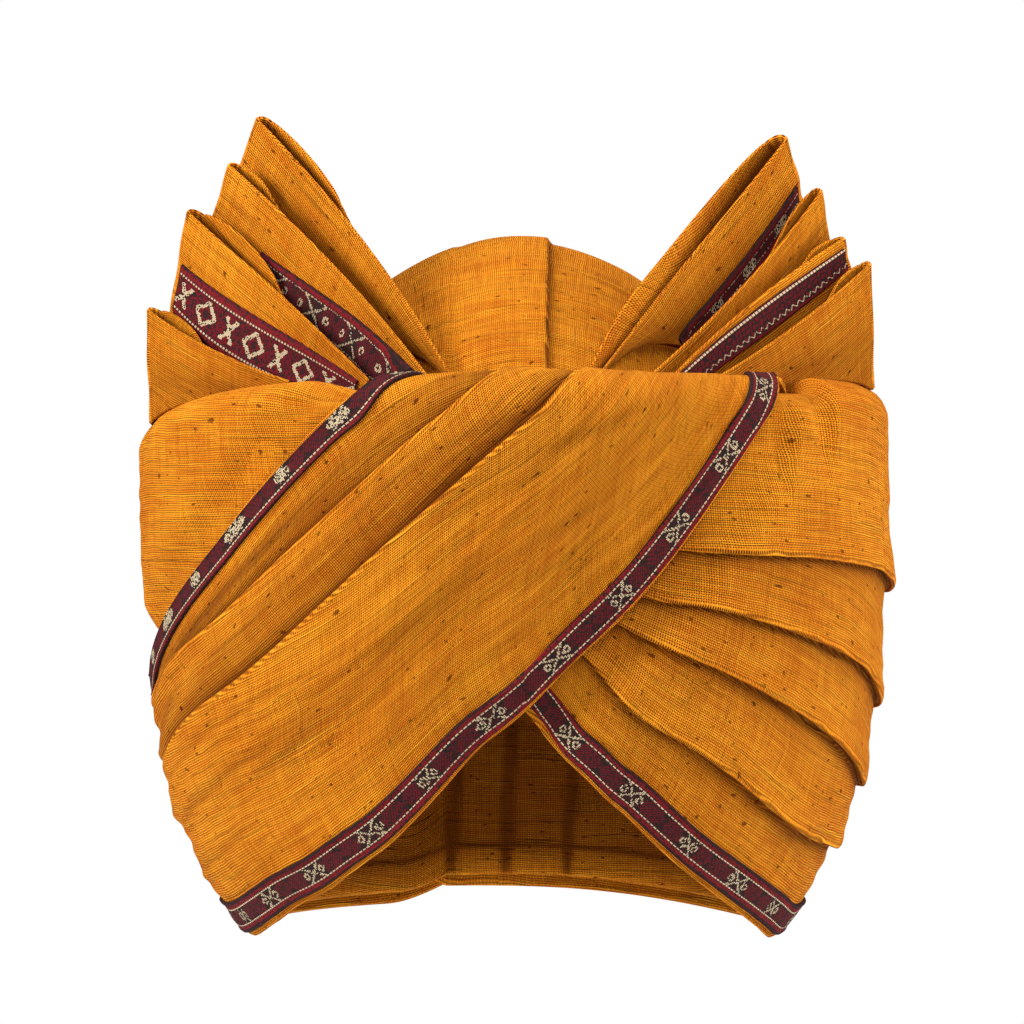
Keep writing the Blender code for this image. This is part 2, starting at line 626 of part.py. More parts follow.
def leaf_edges(rows, side, leaf, along):
    """A leaf's top edge and low edge. A leaf stands upright on a slanting line seen from above."""
    value = {name: column[leaf] for name, column in rows.items()}
    base = np.array([value["base_out"], 0.0])
    tip = np.array([value["tip_out"], value["tip_up"]])
    foot = np.array([value["foot_out"], value["foot_up"]])
    root = np.array([value["root_out"], value["root_up"]])
    low_middle = np.array([value["mid_out"], value["mid_up"]])
    chord = tip - base
    top_middle = 0.5 * (base + tip) + value["bow"] * np.array([-chord[1], chord[0]])
    edges = []
    for start, middle, end in ((base, top_middle, tip), (root, low_middle, foot)):
        share = bezier(start, middle, end, along)
        x = side * (FAN_ROOT_X + FAN_REACH * share[..., 0])
        place = (share[..., 0] - base[0]) / (tip[0] - base[0])
        y = FAN_FRONT_Y + FAN_LEAN * (value["base_back"] + (value["tip_back"] - value["base_back"]) * place)
        edges.append(np.stack([x, y, TOP_Z + FAN_RISE * share[..., 1]], axis=-1))
    top, low = edges
    halves = 0.5 * (layer_gap(value, along) + FAN_CLOTH)
    rest = [rest_z(x, y, half) for (x, y), half in zip(low[..., :2], halves)]
    low[..., 2] = np.maximum(low[..., 2], np.array(rest) + FAN_SEAT_GAP)
    return top, low, value


def leaf_point(rows, side, leaf, along, down):
    """A leaf's middle surface on a grid of shares along it and down it, with its directions."""
    top, low, value = leaf_edges(rows, side, leaf, along)
    here = top[:, None] + (low - top)[:, None] * down[None, :, None]
    ahead = unit(np.gradient(here, axis=0))
    below = unit(np.gradient(here, axis=1))
    normal = unit(np.cross(ahead, below))
    return here, ahead, below, np.where(normal[..., 1:2] > 0.0, -normal, normal), value


def layer_gap(value, along):
    """The space between a leaf's two layers, wider at its folded outer edge."""
    return FAN_LAYER_GAP + (value["mouth"] - FAN_LAYER_GAP) * smoothstep(0.3, 1.0, along)


def make_leaf(name, rows, side, leaf):
    """One folded leaf: the back layer, the fold round its outer edge, then the front layer."""
    along = np.linspace(0.0, 1.0, LEAF_LENGTH_CELLS + 1)
    down = np.linspace(0.0, 1.0, LEAF_DROP_CELLS + 1)
    here, ahead, below, normal, value = leaf_point(rows, side, leaf, along, down)
    half_gap = 0.5 * layer_gap(value, along)[:, None, None]
    open_share = np.clip((along - value["slit"]) / (1.0 - value["slit"]), 0.0, 1.0)
    rise = value["rise"] * np.sin(math.pi * open_share)[:, None] ** 0.7 * (1.0 - down)[None, :]
    back = here - normal * half_gap - below * rise[..., None]
    front = here + normal * half_gap
    turns = math.pi * np.linspace(1.0, 0.0, LOOP_CELLS + 1)[1:-1, None, None]
    radius = 0.5 * value["mouth"]
    loop = here[-1:] + radius * (ahead[-1:] * np.sin(turns) + normal[-1:] * np.cos(turns))
    points = np.concatenate([back, loop, front[::-1]])
    return sheet_solid(name, points, FAN_CLOTH)


def make_fan_trim(name, rows, side, leaf, span, drop):
    """A woven border laid on the front layer of a leaf."""
    along = np.linspace(span[0], span[1], LEAF_LENGTH_CELLS + 1)
    down = np.linspace(drop[0], drop[1], 3)
    here, ahead, below, normal, value = leaf_point(rows, side, leaf, along, down)
    lay = 0.5 * (FAN_CLOTH + TRIM_THICKNESS) + TRIM_GAP
    points = here + normal * (0.5 * layer_gap(value, along) + lay)[:, None, None]
    return sheet_solid(name, points, TRIM_THICKNESS, colour=TRIM_COLOUR)


def make_fans():
    """The two fans and their trims."""
    for word, rows, side in (("left", LEFT_LEAVES, -1), ("right", RIGHT_LEAVES, 1)):
        for leaf in range(4):
            make_leaf(f"{word}_fan_pleat_{leaf + 1}", rows, side, leaf)
    for name, (rows, side, leaf, span, drop) in FAN_TRIMS.items():
        make_fan_trim(name, rows, side, leaf, span, drop)


def main():
    """Clear the scene and build every piece."""
    for old in list(bpy.data.objects):
        bpy.data.objects.remove(old, do_unlink=True)
    make_crown_cap()
    make_under_wrap()
    make_over_wrap()
    make_fans()


main()
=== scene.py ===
"""Tied turban pagri of slub cloth: the cloth, the woven borders and the stage round the fixed frame."""

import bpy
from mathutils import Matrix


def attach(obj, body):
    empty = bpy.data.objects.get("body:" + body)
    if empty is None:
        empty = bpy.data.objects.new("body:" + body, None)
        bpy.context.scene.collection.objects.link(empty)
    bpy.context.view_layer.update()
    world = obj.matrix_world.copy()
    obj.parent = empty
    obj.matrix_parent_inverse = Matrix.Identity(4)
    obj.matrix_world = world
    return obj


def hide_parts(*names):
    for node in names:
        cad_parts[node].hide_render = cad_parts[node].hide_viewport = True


bl_info = {
    "name": "Tied turban pagri",
    "version": (1, 0, 0),
    "blender": (4, 5, 0),
    "location": "View3D > Sidebar > Turban",
    "description": "Makes a tied turban's wraps, crown, fans and woven borders",
    "category": "Object",
}

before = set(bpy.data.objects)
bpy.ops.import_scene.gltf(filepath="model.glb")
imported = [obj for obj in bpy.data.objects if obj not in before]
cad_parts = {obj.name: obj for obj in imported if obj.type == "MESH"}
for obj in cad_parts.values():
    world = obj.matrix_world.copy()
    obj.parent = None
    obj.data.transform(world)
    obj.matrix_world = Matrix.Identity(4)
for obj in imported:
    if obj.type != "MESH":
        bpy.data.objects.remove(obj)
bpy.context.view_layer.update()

import math

import bpy
import numpy as np

# The crown, the wraps and the fans, in metres
CAP_HALF_WIDTH = 0.078
CAP_HALF_DEPTH = 0.098
CAP_DOME_HEIGHT = 0.097
CAP_TAPER = 0.0025
CAP_CLOTH = 0.002
CAP_EDGE_LIFT = 0.003
CROWN_PLEAT_OFFSET = 0.009
CROWN_PLEAT_HEIGHT = 0.0018
CROWN_PLEAT_REACH = 0.045
RIM_DROP = 0.203
WRAP_HEIGHT = 0.161
WRAP_CLOTH = 0.002
BULGE_SIDE = 0.0300
BULGE_FRONT = 0.0175
BULGE_BACK = 0.022
BULGE_RISE = 0.038
ROLL_RADIUS = 0.009
ROLL_INNER_TURN = 2.0
SHELF_LENGTH = 0.026
SHELF_DROP = 0.020
LAYER_GAP = 0.0006
CROSSING_SPREAD = 0.018
COVER_MARGIN = 0.008
COVER_SPREAD = 0.012
OVER_LIFT = 0.0049
PLEAT_LENGTH = 0.020
FOLD_LENGTH = 0.028
TRIM_THICKNESS = 0.001
TRIM_LIFT = 0.0001
TRIM_UNDERSIDE = 0.00005
WRAP_TRIM_WIDTH = 0.0088
UPPER_TRIM_WIDTH = 0.0065
FAN_CLOTH = 0.0012
FAN_REACH = 0.092
FAN_RISE = 0.078
FAN_LEAN = 0.072
FAN_ROOT_X = 0.017
FAN_FRONT_Y = -0.084
FAN_LAYER_GAP = 0.0024
FAN_SEAT_GAP = 0.0003
FAN_SEAT_REACH = 0.0008
TOP_Z = WRAP_HEIGHT - RIM_DROP
MEAN_RADIUS = 0.112
WAVE_RADIUS = 0.115
OVER_WIDTH = 0.105
END_SINK = 0.0036
HEM_DEPTH = 0.0085
HEM_STEP = 0.0003
DOME_CLOTH_Z = -0.075
WRINKLE_HEIGHT = 0.0013
WRINKLE_SHADE = 0.42
NARROW_SHADE_REACH = 0.0021
BROAD_SHADE_REACH = 0.0085
PLEAT_BROAD_SHADE = 0.22
FOLD_BROAD_SHADE = 0.62
INSIDE_SHADE = 0.72
# The folds down the inner wall: their places sideways and their steps
WALL_FOLDS = ((-0.0188, 0.0026), (-0.0008, 0.0012), (0.0195, 0.0014))

# Where the wraps and their borders start and end, in degrees round the head. 0 is the front, 90 the right.
SEAM_ANGLE = -176.0
OVER_SPAN = (-240.0, 52.5)
LOWER_TRIM_SPAN = (-226.0, 50.0)
UPPER_TRIM_SPAN = (-182.0, -14.0)
UNDER_TRIM_SPAN = (-1.0, 112.0)

# How finely the surfaces are divided
WRAP_STATIONS = 440
CROWN_STATIONS = 360
LEAF_ALONG = 56
LEAF_DOWN = 30

# The stage, in metres, and its lights: place, size and power in watts
FLOOR_RADIUS = 0.9
FLOOR_Z = -0.36
FLOOR_GREY = 0.75
LIGHT_AIM = (0.0, 0.0, -0.09)
WORLD_STRENGTH = 0.21
LIGHTS = {
    "key_light": ((-1.25, -0.65, 0.50), 0.7, 32.0),
    "front_light": ((0.50, -1.25, 0.80), 0.9, 15.0),
    "side_light": ((1.30, 0.0, 0.20), 0.8, 17.0),
    "top_light": ((0.1, -0.15, 1.20), 0.8, 14.0),
}
CAMERA_PLACE = (-0.0012, -1.4, -0.079)
CAMERA_VIEW_WIDTH = 1024 * 0.0003
CAMERA_SENSOR = 36.0


def table(names, *rows):
    """A short table: its columns by name, as arrays."""
    return dict(zip(names.split(), np.array(rows, dtype=float).T))


# Heights in these tables are shares of the wraps' height, from 0 at the rim to 1 at the top.
TOP_EDGE = table(
    "angle height",
    (-180, 0.955), (-130, 0.935), (-85, 0.932), (-70, 0.955), (-45, 0.984), (-20, 0.998),
    (0, 1.007), (20, 1.002), (50, 1.004), (80, 0.996), (110, 0.975), (150, 0.96), (180, 0.955),
)
OVER_EDGES = table(
    "angle lower upper",
    (-254, 1.60, 1.60), (-244, 1.04, 1.06), (-234, 0.965, 1.06), (-225, 0.875, 1.06),
    (-215, 0.74, 1.06), (-205, 0.56, 1.055), (-195, 0.37, 1.03), (-187, 0.235, 1.00),
    (-180, 0.15, 0.965), (-172, 0.08, 0.91), (-163, 0.03, 0.82), (-150, 0.00, 0.70),
    (-130, 0.00, 0.55), (-110, 0.00, 0.48), (-85, 0.00, 0.475), (-78, 0.00, 0.515),
    (-60, 0.040, 0.635), (-50, 0.079, 0.712), (-41, 0.111, 0.80), (-33, 0.155, 0.88),
    (-26, 0.195, 0.95), (-20, 0.243, 1.00), (-15, 0.289, 1.035), (-7, 0.368, 1.08), (1, 0.426, 1.10),
    (9, 0.509, 1.10), (18, 0.610, 1.10), (25.5, 0.717, 1.10), (32, 0.821, 1.10),
    (38, 0.912, 1.10), (44, 0.995, 1.10), (53, 1.065, 1.10), (64, 1.60, 1.60), (106, 1.60, 1.60),
)
UNDER_LOWER_EDGE = table(
    "angle height",
    (-180, 0.03), (-110, 0.06), (-80, 0.12), (-41, 0.22), (-15, 0.36), (-4, 0.455), (1, 0.435),
    (6.6, 0.3775), (10, 0.346), (14.1, 0.3134), (18, 0.2806), (22.1, 0.2515), (27.9, 0.207), (35, 0.158),
    (47.5, 0.092), (64, 0.025), (73, 0.0), (110, 0.0), (180, 0.03),
)
PLEATS = table(
    "angle pleat_1 pleat_2 pleat_3 pleat_4 stand",
    (0, 0.74, 0.68, 0.62, 0.55, 0.0), (10, 0.715, 0.65, 0.595, 0.52, 0.5),
    (20, 0.695, 0.612, 0.55, 0.42, 0.8), (30, 0.695, 0.600, 0.505, 0.36, 0.9),
    (40, 0.692, 0.575, 0.457, 0.30, 1.0), (50, 0.686, 0.545, 0.410, 0.24, 1.0),
    (60, 0.675, 0.512, 0.362, 0.195, 1.0), (70, 0.663, 0.472, 0.315, 0.170, 1.0),
    (78, 0.645, 0.435, 0.280, 0.158, 1.0), (95, 0.620, 0.405, 0.260, 0.148, 1.0),
    (125, 0.620, 0.400, 0.255, 0.145, 0.7), (150, 0.63, 0.42, 0.27, 0.15, 0.3),
    (170, 0.66, 0.46, 0.30, 0.17, 0.0), (200, 0.68, 0.48, 0.33, 0.19, 0.0),
)
FOLDS = table(
    "angle crease_1 crease_2 ridge stand",
    (-180, 0.40, 0.25, 0.18, 0.0), (-130, 0.37, 0.23, 0.15, 0.1), (-100, 0.385, 0.26, 0.17, 0.3),
    (-80, 0.440, 0.317, 0.25, 0.5), (-57, 0.542, 0.420, 0.355, 0.9), (-43, 0.630, 0.495, 0.42, 1.0),
    (-28, 0.760, 0.615, 0.50, 1.0), (-15, 0.887, 0.748, 0.61, 1.0), (-4, 0.99, 0.870, 0.735, 1.0),
    (8, 1.09, 0.990, 0.885, 1.0), (17, 1.16, 1.06, 0.985, 0.9), (30, 1.2, 1.12, 1.08, 0.4),
    (48, 1.2, 1.2, 1.2, 0.0),
)
# Smaller wrinkles along the over wrap: the share across it (0 is its upper edge) at the first and the
# last angle, how wide and how high each is in millimetres.
WRINKLES = table(
    "first last start end width height",
    (-95, -20, 0.10, 0.22, 2.2, 0.5), (-88, 5, 0.20, 0.16, 2.6, 0.7), (-60, 12, 0.34, 0.30, 2.0, 0.6),
    (-80, -25, 0.62, 0.66, 2.4, 0.9), (-50, 20, 0.72, 0.60, 2.6, 0.8), (-92, -45, 0.78, 0.80, 2.4, 0.7),
    (-30, 30, 0.82, 0.74, 2.0, 0.5), (-20, 28, 0.45, 0.36, 2.2, 0.6), (-70, -35, 0.90, 0.90, 1.8, 0.4),
    (-150, -60, 0.35, 0.30, 3.0, 0.8), (-170, -80, 0.60, 0.55, 3.4, 0.9), (-215, -120, 0.45, 0.42, 3.6, 1.0),
    (-225, -150, 0.70, 0.72, 3.2, 0.9), (-10, 36, 0.92, 0.88, 1.8, 0.4),
)
CREASE_HEIGHTS = (0.0028, 0.0040)
RIDGE_HEIGHT = 0.0014
RIDGE_WIDTH = 0.0022

# A leaf's top edge goes from its base to its tip, and its low edge from its root by a middle to its foot.
# out and up are shares of the fan's reach and rise, back is a share of its lean, and slit is where along
# the leaf its two layers part. mouth and rise are in metres.
LEAF_COLUMNS = (
    "base_out base_back tip_out tip_up tip_back foot_out foot_up mid_out mid_up root_out root_up "
    "bow mouth slit rise"
)
LEFT_LEAVES = table(
    LEAF_COLUMNS,
    (0.00, 0.00, 0.620, 1.000, 0.86, 0.73, 0.66, 0.40, 0.18, 0.06, -0.05, 0.030, 0.0050, 0.66, 0.0014),
    (0.07, -0.02, 0.705, 0.82, 0.76, 0.81, 0.46, 0.50, 0.03, 0.16, -0.12, 0.022, 0.0045, 0.86, 0.0010),
    (0.26, 0.096, 0.835, 0.64, 0.747, 0.90, 0.21, 0.62, -0.10, 0.30, -0.16, 0.005, 0.0055, 0.55, 0.0036),
    (0.51, 0.243, 0.965, 0.275, 0.747, 0.955, -0.28, 0.74, -0.14, 0.52, -0.15, -0.045, 0.0045, 0.68, 0.0022),
)
RIGHT_LEAVES = table(
    LEAF_COLUMNS,
    (0.045, 0.04, 0.650, 0.925, 0.92, 0.715, 0.66, 0.42, 0.18, 0.15, -0.05, 0.000, 0.0070, -0.50, 0.0060),
    (0.20, 0.057, 0.775, 0.73, 0.867, 0.805, 0.50, 0.52, 0.11, 0.26, -0.10, -0.030, 0.0038, 0.80, 0.0010),
    (0.275, 0.070, 0.845, 0.55, 0.820, 0.875, 0.37, 0.60, 0.05, 0.33, -0.14, 0.030, 0.0036, 0.85, 0.0008),
    (0.41, 0.135, 0.925, 0.45, 0.750, 0.935, -0.14, 0.72, -0.12, 0.45, -0.15, -0.030, 0.0036, 0.80, 0.0012),
)
# Each border: its leaves, its side, its leaf, where it runs along the leaf, its upper and its lower edge as
# shares of the leaf's height at both ends, and its pattern.
FAN_TRIMS = {
    "left_fan_narrow_trim": (LEFT_LEAVES, -1, 1, (0.04, 0.78), (0.04, 0.37), (0.55, 0.62), "narrow"),
    "left_fan_wide_trim": (LEFT_LEAVES, -1, 2, (0.04, 0.985), (0.12, 0.40), (0.62, 0.82), "lozenge"),
    "right_fan_narrow_trim": (RIGHT_LEAVES, 1, 0, (0.32, 0.985), (0.585, 0.55), (0.93, 0.84), "narrow"),
    "right_fan_wide_trim": (RIGHT_LEAVES, 1, 2, (0.04, 0.985), (0.03, 0.13), (0.42, 0.56), "zigzag"),
}

# Each border pattern in millimetres: how long its repeat is, how far its motifs stay from the edge, its
# dashes (pitch, half length, distance from the edge, half width, worn share) and its red line (from, to,
# worn share). BORDER_STITCH is one stitch.
BORDER_STITCH = 0.42
BORDERS = {
    "border": (25.0, 1.8, (1.5, 0.55, 1.62, 0.19, -1.0), (0.22, 1.36, 0.22)),
    "turned": (25.0, 1.8, (1.5, 0.55, 1.62, 0.19, -1.0), (0.22, 1.36, 0.22)),
    "narrow": (19.0, 2.2, (1.5, 0.55, 2.30, 0.20, 0.45), (0.55, 2.00, 0.20)),
    "lozenge": (21.0, 2.9, (1.26, 0.36, 2.45, 0.26, -1.0), (0.85, 2.10, 0.12)),
    "zigzag": (3.36, 0.5, (1.5, 0.55, 0.55, 0.28, -1.0), (0.20, 1.10, -1.0)),
}
# Flat widths of the fans' cloth sheets, and their length, in metres
LEAF_SHEETS = {"left": (0.035, 0.038, 0.041, 0.014), "right": (0.029, 0.023, 0.022, 0.017)}


def smoothstep(low, high, value):
    """A smooth rise from 0 at low to 1 at high."""
    share = np.clip((value - low) / (high - low), 0.0, 1.0)
    return share * share * (3.0 - 2.0 * share)


def curve(rows, column, angle):
    """A smooth curve through a table's column, read at angles in degrees all round the head."""
    knots = rows["angle"]
    values = rows[column]
    turns = np.mod(np.asarray(angle) - knots[0], 360.0) + knots[0]
    turns = np.minimum(turns, knots[-1])
    slopes = np.diff(values) / np.diff(knots)
    tangents = np.zeros_like(values)
    tangents[1:-1] = np.where(slopes[:-1] * slopes[1:] > 0, 0.5 * (slopes[:-1] + slopes[1:]), 0.0)
    cell = np.clip(np.searchsorted(knots, turns, side="right") - 1, 0, len(knots) - 2)
    width = knots[cell + 1] - knots[cell]
    step = (turns - knots[cell]) / width
    rise = values[cell + 1] - values[cell]
    blend = step * step * (3.0 - 2.0 * step)
    start = tangents[cell] * width * step * (1.0 - step) ** 2
    end = tangents[cell + 1] * width * step * step * (1.0 - step)
    return values[cell] + rise * blend + start - end


def waves(along, across, length, spread, seed):
    """Soft unevenness: a sum of twelve sine waves, long one way and short the other, from -1 to 1."""
    draw = np.random.default_rng(seed)
    total = 0.0
    for turn, size, phase in zip(draw.normal(0, 1, 12), draw.uniform(0.6, 1.6, 12), draw.uniform(0, 6.3, 12)):
        total = total + np.sin(6.283 * (turn * along / length + size * across / spread) + phase)
    return total / 12.0 ** 0.5 * 0.5


def top_z(angle):
    """The height of the crest of the band's top edge: the table's share of the wraps' height over the rim."""
    return -RIM_DROP + WRAP_HEIGHT * curve(TOP_EDGE, "height", angle)


def path_of(angle, share):
    """The path at a height share: an arc over the crest, then straight down the outside."""
    drop = top_z(angle) - (-RIM_DROP + WRAP_HEIGHT * share)
    turn = np.arccos(np.clip(1.0 - drop / ROLL_RADIUS, -1.0, 1.0)) * ROLL_RADIUS
    wall = drop + (0.5 * math.pi - 1.0) * ROLL_RADIUS
    return np.where(drop < 0.0, drop, np.where(drop < ROLL_RADIUS, turn, wall))


def base_z(angle):
    """The lowest edge of the wraps at an angle, which is the V over the forehead."""
    over = curve(OVER_EDGES, "lower", angle)
    under = curve(UNDER_LOWER_EDGE, "height", angle)
    return -RIM_DROP + WRAP_HEIGHT * np.minimum(over, under)


def bulge(angle, height):
    """How far the wraps' middle surface stands out from the cap's, sideways and lengthways. It rises from
    the low edge as 1 - exp(-height / BULGE_RISE), and stands out more where the two wraps cross."""
    contact = 0.5 * (CAP_CLOTH + WRAP_CLOTH) + LAYER_GAP
    apart = curve(OVER_EDGES, "lower", angle) - curve(UNDER_LOWER_EDGE, "height", angle)
    crossing = OVER_LIFT * np.exp(-(apart * WRAP_HEIGHT / CROSSING_SPREAD) ** 2)
    rise = 1.0 - np.exp(-np.maximum(height, 0.0) / BULGE_RISE)
    ends = BULGE_BACK + (BULGE_FRONT - BULGE_BACK) * smoothstep(-0.1, 0.1, np.cos(np.radians(angle)))
    return contact + crossing + BULGE_SIDE * rise, contact + crossing + ends * rise


def cap_radii(z):
    """The half width and half depth of the cap's middle surface at a height: half an ellipse over the
    dome, sqrt(1 - share^2), and a straight taper down the wall."""
    below = np.maximum(-CAP_DOME_HEIGHT - z, 0.0) / (RIM_DROP - CAP_DOME_HEIGHT)
    above = np.maximum(z + CAP_DOME_HEIGHT, 0.0) / CAP_DOME_HEIGHT
    dome = np.sqrt(np.maximum(1.0 - above ** 2, 0.0))
    return (CAP_HALF_WIDTH - CAP_TAPER * below) * dome, (CAP_HALF_DEPTH - CAP_TAPER * below) * dome


def wrap_profile(angle, path):
    """The wraps' middle surface as a half width, a half depth and a height at a path: straight down the
    outside, a circle of ROLL_RADIUS over the crest, then a slanting shelf in to the cap."""
    top = top_z(angle)
    centre = top - ROLL_RADIUS
    wall = path > 0.5 * math.pi * ROLL_RADIUS
    wall_z = centre - (path - 0.5 * math.pi * ROLL_RADIUS)
    z_for_radius = np.where(wall, wall_z, centre)
    half_width, half_depth = cap_radii(np.minimum(z_for_radius, -CAP_DOME_HEIGHT))
    side_stand, end_stand = bulge(angle, z_for_radius - base_z(angle))
    inner_path = -ROLL_INNER_TURN * ROLL_RADIUS
    turn = np.clip(path, inner_path, None) / ROLL_RADIUS
    inward = np.where(wall, 0.0, ROLL_RADIUS * (np.sin(turn) - 1.0))
    z = np.where(wall, wall_z, centre + ROLL_RADIUS * np.cos(turn))
    width = half_width + side_stand + inward
    depth = half_depth + end_stand + inward
    along = np.clip((inner_path - path) / SHELF_LENGTH, 0.0, 1.0)
    contact = 0.5 * (CAP_CLOTH + WRAP_CLOTH) + 2.0 * LAYER_GAP
    shelf_z = top - ROLL_RADIUS - SHELF_DROP
    shelf_width, shelf_depth = cap_radii(shelf_z)
    width = width + (shelf_width + contact - width) * along
    depth = depth + (shelf_depth + contact - depth) * along
    return width, depth, z + (shelf_z - z) * along


def wrap_point(angle, path, offset):
    """A point off the wraps' middle surface, by an offset along the cloth's own normal. Its place is the
    half width times the angle's sine, and minus the half depth times its cosine."""
    step = 0.0012
    width, depth, z = wrap_profile(angle, path)
    width_1, depth_1, z_1 = wrap_profile(angle, path - step)
    width_2, depth_2, z_2 = wrap_profile(angle, path + step)
    run = 0.5 * (width_2 - width_1 + depth_2 - depth_1)
    fall = z_2 - z_1
    length = np.sqrt(run * run + fall * fall) + 1e-12
    out = -fall / length
    radians = np.radians(angle)
    x = (width + offset * out) * np.sin(radians)
    y = -(depth + offset * out) * np.cos(radians)
    return np.stack([x, y, z + offset * run / length], axis=-1)


def over_upper(angle):
    """The path of the over wrap's upper edge."""
    return path_of(angle, curve(OVER_EDGES, "upper", angle))


def over_lower(angle):
    """The path of the over wrap's lower edge."""
    return path_of(angle, curve(OVER_EDGES, "lower", angle))


def under_lower(angle):
    """The path of the under wrap's lower edge."""
    return path_of(angle, curve(UNDER_LOWER_EDGE, "height", angle))


def slant(angle, edge):
    """How much path a width across an edge takes, where the edge slants: sqrt(1 + slope^2)."""
    climb = edge(angle + 2.0) - edge(angle - 2.0)
    along = 4.0 * math.radians(1.0) * (CAP_HALF_DEPTH + BULGE_FRONT)
    return np.minimum(np.sqrt(1.0 + (climb / along) ** 2), 2.5)


def outside(angle, path):
    """How far past the over wrap's edges a place is, or minus how far under it."""
    above = (over_upper(angle) - path) / slant(angle, over_upper)
    below = (path - over_lower(angle)) / slant(angle, over_lower)
    return np.maximum(above, below)


def cover(angle, path):
    """1 where the over wrap lies on the under wrap, fading to 0 past its edges."""
    return 1.0 - smoothstep(0.0, COVER_SPREAD, outside(angle, path) - COVER_MARGIN)


def pleat_edge(angle, number):
    """The path of a pleat's lower edge, which is slightly wavy."""
    edge = path_of(angle, curve(PLEATS, f"pleat_{number}", angle))
    return edge - 0.0010 + 0.0006 * waves(angle, number, 60.0, 3.0, 40 + number)


def crease_edge(angle, number):
    """The path of one of the over wrap's creases, which is slightly wavy."""
    edge = path_of(angle, curve(FOLDS, f"crease_{number}", angle))
    return edge + 0.0008 * waves(angle, number, 50.0, 3.0, 20 + number)


def tuck(path, edge, lip, reach):
    """The sideways push that turns a step into an overlap: plus above the edge and minus below it."""
    place = (path - edge) / lip
    return np.where(np.abs(place) < 0.5, -reach * np.sin(2.0 * math.pi * place), 0.0)


def fold_shade(distance, broad):
    """How dark the cloth is beside a fold that hangs over it: a dark line and a broad, fainter shade, which
    both fall off as exp(-distance / reach)."""
    near = np.maximum(distance, 0.0)
    return 0.9 * np.exp(-near / NARROW_SHADE_REACH) + broad * np.exp(-near / BROAD_SHADE_REACH)


def crest_fade(path):
    """Folds are pressed flat where the cloth turns over the crest."""
    return 0.35 + 0.65 * smoothstep(0.002, 0.020, path)


def pleat_shape(angle, path, sizes):
    """The under wrap's pleats: how far they stand out, their overlaps and the shade below each. A pleat
    rises in one smooth step at its edge and falls off upwards as exp(-height / PLEAT_LENGTH)."""
    stand = curve(PLEATS, "stand", angle)
    relief = np.zeros_like(path)
    push = np.zeros_like(path)
    shade = np.zeros_like(path)
    for number in range(1, 5):
        edge = pleat_edge(angle, number)
        above = edge - path
        share = smoothstep(-0.5 * sizes.lip, 0.5 * sizes.lip, above)
        relief = relief + share * np.exp(-np.maximum(above, 0.0) / PLEAT_LENGTH)
        push = push + stand * tuck(path, edge, sizes.lip, sizes.overlap)
        dark = np.minimum(1.5 * stand, 1.0) * (1.0 - share) * fold_shade(-above, PLEAT_BROAD_SHADE)
        shade = np.maximum(shade, dark)
    return sizes.pleat * stand * relief * crest_fade(path), push, shade


def fold_shape(angle, path, sizes):
    """The over wrap's creases, ridge and wrinkles: their height, their overlaps and their shade. A crease
    is a smooth step that falls off downwards, and the ridge and wrinkles are bell curves exp(-share^2)."""
    stand = curve(FOLDS, "stand", angle)
    upper, lower = over_upper(angle), over_lower(angle)
    relief = np.zeros_like(path)
    push = np.zeros_like(path)
    shade = np.zeros_like(path)
    for number, height in enumerate(CREASE_HEIGHTS, start=1):
        below = path - crease_edge(angle, number)
        share = smoothstep(-0.5 * sizes.lip, 0.5 * sizes.lip, below)
        relief = relief + height * share * np.exp(-np.maximum(below, 0.0) / FOLD_LENGTH)
        push = push - stand * tuck(-below, 0.0, sizes.lip, sizes.overlap)
        dark = (0.4 + 0.3 * number) * stand * (1.0 - share) * fold_shade(-below, FOLD_BROAD_SHADE)
        shade = np.maximum(shade, dark)
    ridge = path_of(angle, curve(FOLDS, "ridge", angle))
    relief = stand * (relief + RIDGE_HEIGHT * np.exp(-((path - ridge) / RIDGE_WIDTH) ** 2))
    # Painted shade just above the ridge and on the upper side of each wrinkle.
    shade = shade + 0.25 * stand * np.exp(-((path - ridge + 0.003) / 0.002) ** 2)
    across = (path - upper) / (lower - upper)
    for first, last, start, end, wide, high in zip(*WRINKLES.values()):
        middle = start + (end - start) * (angle - first) / (last - first)
        fade = smoothstep(first, first + 12.0, angle) * (1.0 - smoothstep(last - 12.0, last, angle))
        apart = (across - middle) * OVER_WIDTH / (0.001 * wide)
        relief = relief + WRINKLE_HEIGHT * high * fade * np.exp(-(apart ** 2))
        shade = shade + WRINKLE_SHADE * high * fade * np.exp(-((apart + 1.3) ** 2))
    along = np.radians(angle) * WAVE_RADIUS + 0.6 * path
    relief = relief + sizes.unevenness * waves(along, across * OVER_WIDTH, 0.30, 0.022, 7)
    relief = relief + 0.4 * sizes.unevenness * waves(along, across * OVER_WIDTH, 0.10, 0.009, 8)
    edge_fade = smoothstep(0.0, 0.010, lower - path) * smoothstep(0.0, 0.010, path - upper)
    return relief * edge_fade * crest_fade(path), push * edge_fade, shade * edge_fade


def rows_between(knots, counts):
    """Rows of paths through knots, evenly spread between each two. Knots are kept in order."""
    knots = np.maximum.accumulate(np.stack(knots, axis=1), axis=1)
    rows = []
    for number, count in enumerate(counts):
        share = np.linspace(0.0, 1.0, count + 1)[None, :-1]
        rows.append(knots[:, number:number + 1] * (1.0 - share) + knots[:, number + 1:number + 2] * share)
    return np.concatenate(rows + [knots[:, -1:]], axis=1)


